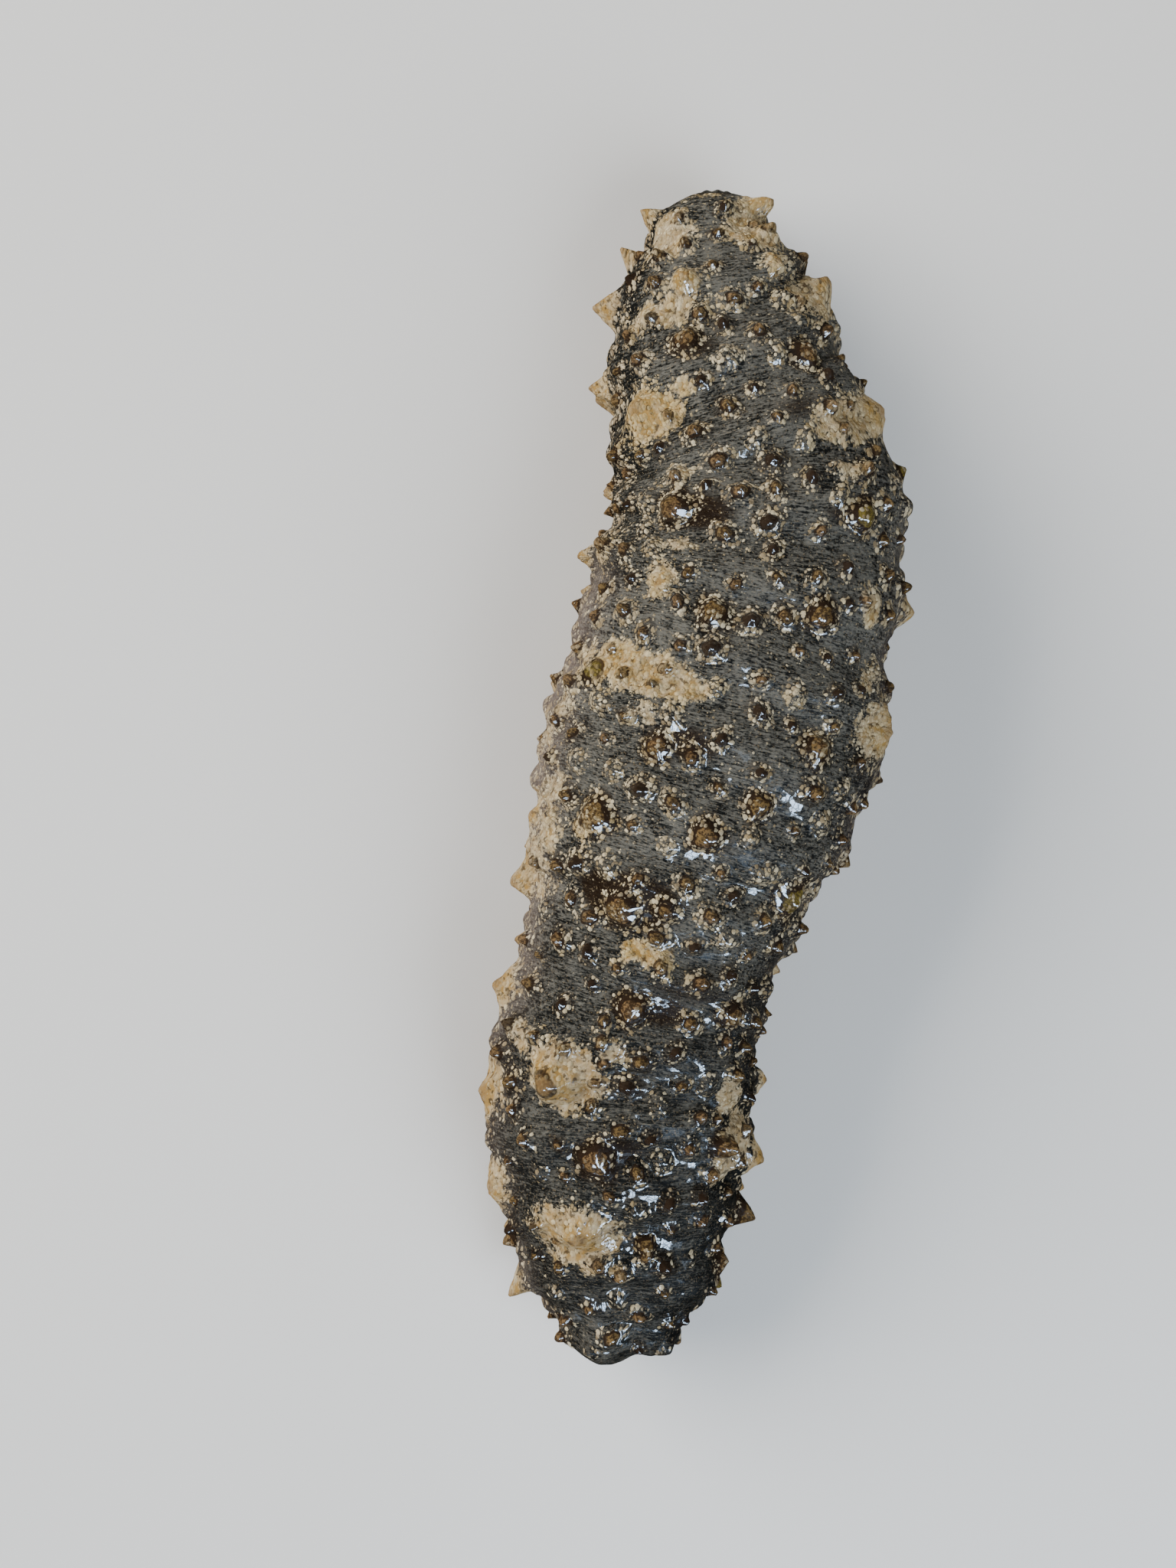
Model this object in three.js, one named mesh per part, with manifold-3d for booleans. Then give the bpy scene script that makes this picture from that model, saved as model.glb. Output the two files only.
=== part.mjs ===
// A warty sea cucumber at life size, resting on its creeping sole in a gentle S.
// Millimetres, +Z up. The tail end points along +Y, the head end along -Y, and
// +X is the animal's left. The back faces up and carries blunt warts, the flanks
// carry a fringe of pointed papillae, and the flat sole stands on tube feet.
import * as THREE from 'three';
import { mergeVertices } from 'three/addons/utils/BufferGeometryUtils.js';
import Module from 'manifold-3d';

const wasm = await Module();
wasm.setup();

// Driving sizes of the body
const BODY_LENGTH = 117.6;
const TIP_ROUNDING = 3.4; // length of the rounded nose at each end
const TIP_POWER = 2.3;
const WIDEST_SHARE = 0.4; // height of the widest level, as a share of the body's depth
const BACK_POWER = 2.3; // 2 is an ellipse, more is squarer
const BELLY_POWER = 3.6;
const SOLE_LEVEL = 0.9; // skin of the sole above the floor
const TAIL_LIFT = 1.8; // how far the underside rises at each end
const HEAD_LIFT = 2.6;
const LIFT_LENGTH = 16;

// Stations at even steps from the tail tip to the head tip
const BODY_LINE = [1.9, 2.2, 3.9, 6.0, 5.6, 3.2, 1.1, -1.9, -5.0, -6.9, -7.4, -7.5, -8.0];
const BACK_HEIGHT = [12.5, 17, 20.5, 23, 24.6, 25.6, 26, 25, 23.6, 22.6, 21, 16.8, 12];
const LEFT_HALF_WIDTH = [
  5.0, 6.3, 8.6, 10.0, 11.0, 11.7, 13.6, 14.5, 14.4, 14.6, 15.3, 15.9, 15.3,
  14.0, 12.9, 12.1, 11.9, 12.2, 12.3, 12.5, 11.8, 10.5, 9.6, 7.1, 4.6,
];
const RIGHT_HALF_WIDTH = [
  5.2, 6.7, 9.8, 11.5, 12.4, 13.7, 14.1, 14.2, 16.0, 15.7, 15.9, 16.6, 16.8,
  16.0, 14.9, 13.5, 12.4, 12.8, 13.3, 13.0, 12.5, 11.2, 9.9, 7.0, 4.8,
];

// Soft folds that ring the body
const FOLD_SPACING = 7.6;
const FOLD_DEPTH = 0.42;

// Facets of the body: sides round it, and steps along it
const AROUND = 30;
const TIP_STEPS = 3;
const MIDDLE_STEPS = 38;

// Where the body is parted into lengths, from the tail tip, and the sole from the rest
const GAP = 0.3;
const BODY_CUTS = [13.2, 35, 53, 77, 93, 106.5];
const SOLE_CUTS = [13.2, 44, 75, 106.5];
const SOLE_TOP = 3.3;

// Papillae: [distance from the tail tip, degrees round the body, base radius, height].
// 0 degrees is the left flank, 90 the middle of the back and 180 the right flank.
const LEFT_FRINGE = [
  [2.9, 43, 2.0, 1.6], [8.4, 6, 1.1, 1.2], [13.2, 25, 2.4, 2.3], [26.4, 25, 2.6, 1.9],
  [30.1, 14, 1.3, 1.1], [40.1, 12, 1.8, 1.4], [51.7, 24, 2.8, 2.0], [62.5, 4, 1.4, 1.3],
  [67.0, 42, 1.9, 1.8], [71.4, 0, 1.1, 1.3], [79.4, -2, 0.9, 1.5], [87.0, 6, 1.5, 1.0],
  [95.3, 14, 2.2, 1.6], [101.7, 4, 1.9, 2.9], [106.6, 14, 1.8, 1.1], [109.0, 0, 1.3, 1.2],
];
const RIGHT_FRINGE = [
  [2.5, 168, 1.9, 1.6], [6.9, 182, 1.3, 2.9], [10.9, 176, 1.9, 2.6], [16.9, 194, 2.1, 2.6],
  [26.9, 184, 0.9, 1.3], [31.7, 184, 0.9, 1.3], [39.6, 178, 1.5, 1.3], [46.1, 182, 1.1, 1.4],
  [52.5, 180, 1.1, 1.4], [59.3, 180, 1.1, 1.0], [66.9, 168, 1.8, 1.6], [72.9, 174, 2.5, 2.7],
  [82.2, 171, 2.8, 2.5], [90.4, 168, 3.3, 2.1], [98.8, 169, 2.9, 2.1], [105.3, 184, 1.6, 1.7],
  [109.7, 186, 1.8, 3.2], [113.5, 184, 0.8, 1.2],
];
const BACK_WARTS = [
  [16.6, 111, 1.6, 1.2], [21.9, 138, 2.5, 2.4], [34.0, 124, 1.8, 1.3], [42.7, 122, 1.6, 0.9],
  [44.9, 101, 1.7, 1.2], [51.6, 141, 1.8, 1.1], [57.5, 108, 1.5, 1.1], [65.4, 126, 2.0, 1.2],
  [64.0, 89, 1.7, 1.3], [72.3, 107, 2.0, 1.4], [80.6, 94, 1.7, 1.3], [87.9, 119, 2.6, 1.9],
  [94.7, 100, 2.1, 1.5], [101.6, 108, 2.5, 1.6], [20.0, 60, 1.7, 1.3], [34.0, 56, 1.8, 1.3],
  [42.5, 69, 1.7, 1.1], [54.7, 61, 1.7, 1.2], [60.3, 76, 1.5, 1.1], [79.3, 51, 1.6, 1.1],
  [93.5, 49, 1.8, 1.1], [103.4, 81, 1.1, 0.9], [9.6, 92, 2.2, 1.0], [7.9, 54, 1.9, 1.0],
];

// A second, lower row of papillae along each edge of the sole
const LOWER_ROW = { from: 14, to: 108, spacing: 8.6, drop: 27, radius: 1.7, height: 2.2 };

// Small papillae scattered between the large ones
const SMALL = { count: 104, radius: 1.05, height: 0.85, from: 5, to: 113, apart: 4.1, lowest: -14 };

const PAPILLA_SIDES = 7;
const SMALL_SIDES = 5;
const ROOT_DEPTH = 1.2;

// Tube feet stand in three bands along the sole, and their discs rest on the floor
const FOOT = { radius: 0.8, waist: 0.5, sides: 5, root: 0.6, spacing: 5.6 };
const FOOT_BANDS = [-0.58, -0.14, 0.14, 0.58]; // shares of the half-width

// The mouth opens downwards under the head, inside a ring of lips
const MOUTH = { along: 110.6, tilt: 0.42, radius: 2.9, depth: 2.6, lip: 0.75, rise: 0.5 };
const TENTACLE = { outer: 11, inner: 5, radius: 0.5, height: 1.5, sides: 5 };

const COLOURS = {
  back: { color: 0x4d463b, roughness: 0.35 },
  ends: { color: 0x5a4f3f, roughness: 0.35 },
  sole: { color: 0x9b8a72, roughness: 0.5 },
  tentacle: { color: 0xb09060, roughness: 0.4 },
};

// A smooth curve through values at even steps, read at a share of the body's length
const stationCurve = (values) => {
  const curve = new THREE.SplineCurve(values.map((value, step) => new THREE.Vector2(step, value)));
  return (share) => curve.getPoint(THREE.MathUtils.clamp(share, 0, 1)).y;
};
const bodyLine = stationCurve(BODY_LINE);
const backHeight = stationCurve(BACK_HEIGHT);
const leftHalfWidth = stationCurve(LEFT_HALF_WIDTH);
const rightHalfWidth = stationCurve(RIGHT_HALF_WIDTH);

// The body line's point on the floor, its heading towards the head, and the left-hand direction
function bodyFrame(along) {
  const at = (distance) =>
    new THREE.Vector3(bodyLine(distance / BODY_LENGTH), BODY_LENGTH / 2 - distance, 0);
  const step = 0.5;
  const heading = at(along + step).sub(at(along - step));
  heading.z = 0;
  heading.normalize();
  return { point: at(along), heading, left: new THREE.Vector3(-heading.y, heading.x, 0) };
}

// 1 over most of the body, falling to 0 in a rounded nose at each tip
function tipRounding(along) {
  const fromTip = Math.min(along, BODY_LENGTH - along);
  if (fromTip >= TIP_ROUNDING) return 1;
  const share = 1 - Math.max(fromTip, 0) / TIP_ROUNDING;
  return Math.pow(1 - Math.pow(share, TIP_POWER), 1 / TIP_POWER);
}

function undersideLevel(along) {
  const tail = THREE.MathUtils.smoothstep(LIFT_LENGTH - along, 0, LIFT_LENGTH);
  const head = THREE.MathUtils.smoothstep(along - BODY_LENGTH + LIFT_LENGTH, 0, LIFT_LENGTH);
  return SOLE_LEVEL + TAIL_LIFT * tail + HEAD_LIFT * head;
}

// Height of the ring folds above the plain body, none of it on the sole
function foldHeight(along, angle) {
  const bend = 1.1 * Math.sin(2 * angle + along * 0.05) + 0.6 * Math.cos(3 * angle - along * 0.11);
  const ring = Math.sin((Math.PI * 2 * along) / FOLD_SPACING + bend);
  const back = THREE.MathUtils.smoothstep(Math.sin(angle), -0.35, 0.25);
  return FOLD_DEPTH * ring * back * tipRounding(along);
}

// A point of the skin. depth 0 is the skin and 1 the middle of the section
function skinPoint(along, angle, depth = 0) {
  const share = along / BODY_LENGTH;
  const { point, left } = bodyFrame(along);
  const bottom = undersideLevel(along);
  const widest = bottom + WIDEST_SHARE * (backHeight(share) - bottom);
  const across = Math.cos(angle);
  const upward = Math.sin(angle);
  const halfWidth = across >= 0 ? leftHalfWidth(share) : rightHalfWidth(share);
  const rise = upward >= 0 ? backHeight(share) - widest : widest - bottom;
  const power = 2 / (upward >= 0 ? BACK_POWER : BELLY_POWER);
  const size = tipRounding(along) * (1 - depth);
  const fold = (1 - depth) * foldHeight(along, angle);
  const sideways = Math.sign(across) * Math.pow(Math.abs(across), power) * halfWidth * size;
  const height = Math.sign(upward) * Math.pow(Math.abs(upward), power) * rise * size;
  return point
    .clone()
    .addScaledVector(left, sideways + fold * across)
    .setZ(widest + height + fold * upward);
}

function skinNormal(along, angle) {
  const step = 0.02;
  const lengthwise = skinPoint(along + 10 * step, angle).sub(skinPoint(along - 10 * step, angle));
  const round = skinPoint(along, angle + step).sub(skinPoint(along, angle - step));
  return round.cross(lengthwise).normalize();
}

// A closed geometry as a solid, and a solid back as a geometry
function solidOf(geometry) {
  const bare = geometry.clone();
  bare.deleteAttribute('normal');
  bare.deleteAttribute('uv');
  const merged = mergeVertices(bare, 1e-4);
  return new wasm.Manifold(
    new wasm.Mesh({
      numProp: 3,
      vertProperties: new Float32Array(merged.getAttribute('position').array),
      triVerts: new Uint32Array(merged.index.array),
    }),
  );
}

function geometryOf(solid) {
  const mesh = solid.getMesh();
  const position = new Float32Array(mesh.numVert * 3);
  for (let vertex = 0; vertex < mesh.numVert; vertex += 1) {
    const start = vertex * mesh.numProp;
    position.set(mesh.vertProperties.subarray(start, start + 3), vertex * 3);
  }
  const geometry = new THREE.BufferGeometry();
  geometry.setAttribute('position', new THREE.BufferAttribute(position, 3));
  geometry.setIndex(new THREE.BufferAttribute(new Uint32Array(mesh.triVerts), 1));
  geometry.computeVertexNormals();
  return geometry;
}

const largestPiece = (solid) =>
  solid.decompose().reduce((best, piece) => (piece.volume() > best.volume() ? piece : best));

// The whole body as one closed skin: a cylinder along Y whose rings are moved onto the sections
function bodySkin() {
  const rings = [];
  for (let step = 1; step <= TIP_STEPS; step += 1) {
    rings.push(TIP_ROUNDING * (1 - Math.cos((Math.PI / 2) * (step / (TIP_STEPS + 0.6)))));
  }
  const spacing = (BODY_LENGTH - 2 * TIP_ROUNDING) / MIDDLE_STEPS;
  for (let step = 0; step <= MIDDLE_STEPS; step += 1) rings.push(TIP_ROUNDING + step * spacing);
  for (let step = TIP_STEPS - 1; step >= 0; step -= 1) rings.push(BODY_LENGTH - rings[step]);
  const geometry = new THREE.CylinderGeometry(1, 1, 1, AROUND, rings.length - 1);
  const position = geometry.getAttribute('position');
  for (let i = 0; i < position.count; i += 1) {
    const x = position.getX(i);
    const y = position.getY(i);
    const z = position.getZ(i);
    const onAxis = Math.hypot(x, z) < 0.5;
    const along = onAxis ? (y > 0 ? 0 : BODY_LENGTH) : rings[Math.round((0.5 - y) * (rings.length - 1))];
    const place = skinPoint(along, Math.atan2(z, x), onAxis ? 1 : 0);
    position.setXYZ(i, place.x, place.y, place.z);
  }
  return solidOf(geometry);
}

// A papilla: a flared root sunk in the skin, a waist and a narrow tip
function papilla(along, degrees, radius, height, { sides = PAPILLA_SIDES, blunt = 0.2, lean = 0 } = {}) {
  const angle = THREE.MathUtils.degToRad(degrees);
  const root = Math.min(ROOT_DEPTH, radius);
  const profile = [
    [0, -root], [radius, -root * 0.5], [radius * (0.4 + blunt), height * 0.55], [0, height],
  ].map(([r, h]) => new THREE.Vector2(r, h));
  const geometry = new THREE.LatheGeometry(profile, sides);
  const direction = skinNormal(along, angle);
  direction.addScaledVector(bodyFrame(along).heading, lean).normalize();
  geometry.applyQuaternion(
    new THREE.Quaternion().setFromUnitVectors(new THREE.Vector3(0, 1, 0), direction),
  );
  const place = skinPoint(along, angle);
  geometry.translate(place.x, place.y, place.z);
  return solidOf(geometry);
}

function lowerRow() {
  const { from, to, spacing, drop, radius, height } = LOWER_ROW;
  const row = [];
  for (let along = from, turn = 0; along <= to; along += spacing, turn += 1) {
    const size = 1 + 0.16 * Math.sin(turn * 2.1);
    row.push([along, -drop, radius * size, height * size]);
    row.push([along + spacing / 2, 180 + drop, radius * size, height * size]);
  }
  return row;
}

// Evenly scattered places on the back and flanks, clear of the large papillae and of each other
function smallPapillae(large) {
  const taken = large.map(([along, degrees, radius]) => ({
    place: skinPoint(along, THREE.MathUtils.degToRad(degrees)),
    reach: radius + SMALL.radius + 0.25,
  }));
  const found = [];
  for (let draw = 1; found.length < SMALL.count && draw < 4000; draw += 1) {
    const along = SMALL.from + (SMALL.to - SMALL.from) * ((draw * 0.7548776662) % 1);
    const degrees = SMALL.lowest + (180 - 2 * SMALL.lowest) * ((draw * 0.5698402910) % 1);
    const place = skinPoint(along, THREE.MathUtils.degToRad(degrees));
    if (taken.some((other) => other.place.distanceTo(place) < other.reach)) continue;
    const size = 0.8 + 0.45 * ((draw * 0.618034) % 1);
    taken.push({ place, reach: SMALL.apart });
    found.push([along, degrees, SMALL.radius * size, SMALL.height * size]);
  }
  return found;
}

function tubeFeet(from, to) {
  const feet = [];
  for (let along = from + 2.2, row = 0; along < to - 1.4; along += FOOT.spacing, row += 1) {
    for (const band of FOOT_BANDS) {
      const shift = row % 2 ? 0.06 : -0.06;
      const { point, left } = bodyFrame(along);
      const share = along / BODY_LENGTH;
      const halfWidth = band > 0 ? leftHalfWidth(share) : rightHalfWidth(share);
      const place = point.addScaledVector(left, (band + shift) * halfWidth);
      const height = SOLE_LEVEL + FOOT.root;
      const geometry = new THREE.CylinderGeometry(FOOT.waist, FOOT.radius, height, FOOT.sides);
      geometry.rotateX(Math.PI / 2);
      geometry.translate(place.x, place.y, height / 2);
      feet.push(solidOf(geometry));
    }
  }
  return feet;
}

// Half of space on the tail side (towards = 1) or the head side (towards = -1) of a section
function halfSpace(along, towards) {
  const size = 4 * BODY_LENGTH;
  const { point, heading } = bodyFrame(along);
  const geometry = new THREE.BoxGeometry(size, size, size);
  geometry.rotateZ(Math.atan2(heading.x, -heading.y));
  const middle = point.clone().addScaledVector(heading, (-towards * (size - GAP)) / 2);
  geometry.translate(middle.x, middle.y, 0);
  return solidOf(geometry);
}

function below(level) {
  const size = 4 * BODY_LENGTH;
  return solidOf(new THREE.BoxGeometry(size, size, size).translate(0, 0, level - size / 2));
}

// The part of a solid between two sections; a missing section leaves that end whole
function lengthOf(solid, from, to) {
  let kept = solid;
  if (from !== undefined) kept = kept.subtract(halfSpace(from, 1));
  if (to !== undefined) kept = kept.subtract(halfSpace(to, -1));
  return kept;
}

// The mouth's own frame: on the underside of the head, facing down and forwards
function mouthPlacement() {
  const { point, heading } = bodyFrame(MOUTH.along);
  const facing = new THREE.Vector3(0, 0, -1).addScaledVector(heading, MOUTH.tilt).normalize();
  const seat = point.clone().setZ(undersideLevel(MOUTH.along) + MOUTH.rise);
  const turn = new THREE.Quaternion().setFromUnitVectors(new THREE.Vector3(0, 1, 0), facing);
  return (geometry) => geometry.applyQuaternion(turn).translate(seat.x, seat.y, seat.z);
}

function lipRing(place) {
  const ring = new THREE.TorusGeometry(MOUTH.radius + 0.5 * MOUTH.lip, MOUTH.lip, 6, 20);
  return solidOf(place(ring.rotateX(Math.PI / 2)));
}

function mouthCup(place, clearance) {
  const radius = MOUTH.radius - clearance;
  const depth = MOUTH.depth - clearance;
  const profile = [
    [0, -depth], [radius * 0.6, -depth * 0.9], [radius * 0.93, -depth * 0.5], [radius, 0],
    [radius, 4], [0, 4],
  ].map(([r, h]) => new THREE.Vector2(r, h));
  return solidOf(place(new THREE.LatheGeometry(profile, 16)));
}

// The withdrawn tentacles: rounded knobs in two rings, fused to the floor of the mouth
function mouthTentacles(place) {
  const room = mouthCup(place, GAP);
  const pieces = [room.subtract(mouthOpening(place))];
  const { outer, inner, radius, height, sides } = TENTACLE;
  const profile = [[0, 0], [radius * 0.8, 0], [radius, height * 0.6], [radius * 0.6, height * 0.9], [0, height]];
  for (const [count, ring] of [[outer, MOUTH.radius * 0.67], [inner, MOUTH.radius * 0.31]]) {
    for (let i = 0; i < count; i += 1) {
      const turn = (Math.PI * 2 * i) / count;
      const knob = new THREE.LatheGeometry(profile.map(([r, h]) => new THREE.Vector2(r, h)), sides);
      knob.translate(ring * Math.cos(turn), -1.4, ring * Math.sin(turn));
      pieces.push(solidOf(place(knob)));
    }
  }
  return wasm.Manifold.union(pieces).intersect(room);
}

// The open front of the mouth, which the knobs stand in
function mouthOpening(place) {
  const size = 4 * MOUTH.radius;
  return solidOf(place(new THREE.BoxGeometry(size, size, size).translate(0, size / 2 - 1.1, 0)));
}

function anusPit() {
  const { point } = bodyFrame(0);
  const cone = new THREE.ConeGeometry(1.3, 2.6, 5).rotateX(Math.PI);
  const bottom = undersideLevel(0);
  const level = bottom + WIDEST_SHARE * (backHeight(0) - bottom);
  cone.translate(point.x, point.y - 0.9, level);
  return solidOf(cone);
}

const group = new THREE.Group();

function addNode(name, solid, finish) {
  const material = new THREE.MeshStandardMaterial({ metalness: 0, ...COLOURS[finish] });
  const mesh = new THREE.Mesh(geometryOf(largestPiece(solid)), material);
  mesh.name = name;
  group.add(mesh);
}

const large = [...LEFT_FRINGE, ...RIGHT_FRINGE, ...lowerRow()];
const papillae = [
  ...large.map((row) => papilla(...row, { blunt: 0.16 })),
  ...BACK_WARTS.map((row) => papilla(...row, { blunt: 0.42 })),
  ...smallPapillae([...large, ...BACK_WARTS]).map((row) =>
    papilla(...row, { sides: SMALL_SIDES, blunt: 0.34 })),
];
const place = mouthPlacement();
const whole = wasm.Manifold.union([bodySkin(), ...papillae])
  .subtract(anusPit())
  .add(lipRing(place))
  .subtract(mouthCup(place, 0));

const upper = whole.subtract(below(SOLE_TOP + GAP / 2));
const LENGTH_NAMES = [
  'tail_end', 'body_rear', 'body_hind_middle', 'body_middle', 'body_fore_middle', 'body_front', 'head_end',
];
LENGTH_NAMES.forEach((name, i) => {
  const isTip = i === 0 || i === LENGTH_NAMES.length - 1;
  const source = isTip ? whole : upper;
  addNode(name, lengthOf(source, BODY_CUTS[i - 1], BODY_CUTS[i]), isTip ? 'ends' : 'back');
});

const lower = bodySkin().intersect(below(SOLE_TOP - GAP / 2));
['sole_rear', 'sole_middle', 'sole_front'].forEach((name, i) => {
  const [from, to] = [SOLE_CUTS[i], SOLE_CUTS[i + 1]];
  addNode(name, lengthOf(lower, from, to).add(wasm.Manifold.union(tubeFeet(from, to))), 'sole');
});

addNode('mouth_tentacles', mouthTentacles(place), 'tentacle');

export default group;
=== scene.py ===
"""A life-size warty sea cucumber: one wet skin, its tube feet and its mouth tentacles.

Laid out as an add-on and run as a script. The shape is worked out in millimetres, on the axes
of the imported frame: +Y points to the tail end, -Y to the head end, +X to the animal's left and
+Z up through the back.
"""

import itertools
import math

import bpy
import numpy as np
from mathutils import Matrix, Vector


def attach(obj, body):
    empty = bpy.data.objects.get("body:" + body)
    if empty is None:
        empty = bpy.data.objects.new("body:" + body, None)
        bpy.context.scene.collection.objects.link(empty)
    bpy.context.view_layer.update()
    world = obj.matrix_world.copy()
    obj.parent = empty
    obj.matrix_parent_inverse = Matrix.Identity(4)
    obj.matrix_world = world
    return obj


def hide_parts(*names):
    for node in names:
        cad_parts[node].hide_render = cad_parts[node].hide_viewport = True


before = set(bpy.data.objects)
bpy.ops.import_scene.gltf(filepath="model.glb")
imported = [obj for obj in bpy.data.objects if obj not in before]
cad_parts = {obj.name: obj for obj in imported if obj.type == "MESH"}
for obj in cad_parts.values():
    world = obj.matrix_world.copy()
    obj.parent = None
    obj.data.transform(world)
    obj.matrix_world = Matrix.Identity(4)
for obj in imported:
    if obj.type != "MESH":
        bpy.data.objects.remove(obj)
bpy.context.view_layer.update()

bl_info = {
    "name": "Warty Sea Cucumber",
    "version": (1, 0, 0),
    "blender": (4, 5, 0),
    "location": "3D View > Sidebar > Sea Cucumber",
    "description": "Builds a life-size warty sea cucumber and a pale floor to show it on",
    "category": "Add Mesh",
}

MM = 0.001

# The body's form, the same as the solids'

BODY_LENGTH = 117.6
TIP_ROUNDING = 3.4
TIP_POWER = 2.3
WIDEST_SHARE = 0.4
BACK_POWER = 2.3
BELLY_POWER = 3.6
SOLE_LEVEL = 0.9
TAIL_LIFT = 1.8
HEAD_LIFT = 2.6
LIFT_LENGTH = 16
FOLD_SPACING = 7.6
FOLD_DEPTH = 0.42

# The skin's mesh: lengths over a rounded tip and round the body that its steps are counted
# from, and the lowest level that it may reach
TIP_ARC = 9.5
GIRTH = 84
LOWEST_SKIN = 0.12

# Stations at even steps from the tail tip to the head tip
BODY_LINE = (1.9, 2.2, 3.9, 6.0, 5.6, 3.2, 1.1, -1.9, -5.0, -6.9, -7.4, -7.5, -8.0)
BACK_HEIGHT = (12.5, 17, 20.5, 23, 24.6, 25.6, 26, 25, 23.6, 22.6, 21, 16.8, 12)
LEFT_HALF_WIDTH = (
    5.0, 6.3, 8.6, 10.0, 11.0, 11.7, 13.6, 14.5, 14.4, 14.6, 15.3, 15.9, 15.3,
    14.0, 12.9, 12.1, 11.9, 12.2, 12.3, 12.5, 11.8, 10.5, 9.6, 7.1, 4.6,
)
RIGHT_HALF_WIDTH = (
    5.2, 6.7, 9.8, 11.5, 12.4, 13.7, 14.1, 14.2, 16.0, 15.7, 15.9, 16.6, 16.8,
    16.0, 14.9, 13.5, 12.4, 12.8, 13.3, 13.0, 12.5, 11.2, 9.9, 7.0, 4.8,
)

# Pointed papillae of the flanks: distance from the tail tip, degrees round the body (0 is the
# left flank, 90 the middle of the back, 180 the right flank), base radius, height and finish
CREAM, BROWN, HONEY, OLIVE = "cream", "brown", "honey", "olive"
FRINGE = (
    (2.7, 48, 1.2, 1.6, CREAM), (8.4, 6, 1.1, 1.2, BROWN), (13.2, 25, 2.6, 2.3, CREAM),
    (26.4, 25, 2.8, 1.9, CREAM), (30.1, 14, 1.3, 1.1, OLIVE), (40.1, 12, 1.8, 1.4, CREAM),
    (51.7, 24, 3.0, 2.0, CREAM), (62.5, 4, 1.4, 1.3, BROWN), (67.0, 42, 2.1, 1.8, OLIVE),
    (71.4, 0, 1.1, 1.3, BROWN), (79.4, -2, 0.9, 1.5, BROWN), (87.0, 6, 1.5, 1.0, CREAM),
    (95.3, 14, 2.4, 1.6, CREAM), (101.7, 4, 2.0, 2.9, BROWN), (106.6, 14, 1.8, 1.1, HONEY),
    (109.0, 0, 1.3, 1.2, OLIVE), (3.0, 164, 1.4, 1.7, CREAM), (6.9, 182, 1.4, 2.9, CREAM),
    (10.9, 176, 2.0, 2.6, CREAM), (16.9, 194, 2.2, 2.6, CREAM), (26.9, 184, 0.9, 1.3, BROWN),
    (31.7, 184, 0.9, 1.3, BROWN), (39.6, 178, 1.5, 1.3, CREAM), (46.1, 182, 1.1, 1.4, BROWN),
    (52.5, 180, 1.1, 1.4, BROWN), (59.3, 180, 1.1, 1.0, BROWN), (66.9, 168, 1.9, 1.6, CREAM),
    (72.9, 174, 2.7, 2.7, CREAM), (82.2, 171, 3.0, 2.5, CREAM), (90.4, 168, 3.5, 2.1, CREAM),
    (98.8, 169, 3.1, 2.1, CREAM), (105.3, 184, 1.6, 1.7, BROWN), (109.7, 186, 1.9, 3.2, CREAM),
    (113.5, 184, 0.8, 1.2, BROWN),
)

# Blunt warts of the back, in the same terms
BACK_WARTS = (
    (16.6, 111, 1.7, 1.2, BROWN), (34.0, 124, 1.8, 1.3, HONEY), (44.9, 101, 1.7, 1.2, BROWN),
    (51.6, 141, 1.6, 1.1, OLIVE), (57.5, 108, 1.5, 1.1, BROWN), (65.4, 126, 2.0, 1.2, BROWN),
    (64.0, 89, 1.7, 1.3, BROWN), (72.3, 107, 2.1, 1.5, HONEY), (80.6, 94, 1.7, 1.3, HONEY),
    (94.7, 100, 2.1, 1.5, BROWN), (20.0, 60, 1.7, 1.3, HONEY), (34.0, 56, 1.8, 1.3, OLIVE),
    (42.5, 69, 1.7, 1.1, HONEY), (54.7, 61, 1.7, 1.2, HONEY), (60.3, 76, 1.5, 1.1, HONEY),
    (79.3, 51, 1.6, 1.1, HONEY), (93.5, 49, 1.3, 0.9, HONEY), (103.4, 81, 1.1, 0.9, BROWN),
    (42.9, 122, 1.4, 0.9, CREAM), (21.9, 138, 2.8, 2.4, CREAM), (87.9, 119, 2.9, 2.2, CREAM),
    (88.0, 121, 1.8, 0.8, HONEY), (101.6, 108, 3.0, 1.6, CREAM), (10.9, 108, 1.6, 1.0, CREAM),
    (10.1, 61, 1.4, 0.9, CREAM),
)

# Small ringed warts that stand out in the blotches: distance, degrees and radius
RING_WARTS = (
    (85.4, 116, 1.3), (84.2, 102, 1.2), (87.8, 102, 1.1), (90.5, 61, 1.3), (93.3, 45, 1.5),
    (96.4, 50, 1.5), (106.3, 91, 1.3), (104.4, 81, 1.2), (101.0, 53, 1.3), (98.2, 95, 1.1),
    (50.4, 112, 1.2), (51.5, 127, 1.2), (22.8, 124, 1.1), (27.4, 56, 1.2), (25.6, 46, 1.1),
    (7.2, 112, 1.2), (5.0, 60, 1.1), (14.6, 52, 1.1), (40.6, 52, 1.1), (103.0, 122, 1.1),
)

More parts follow.
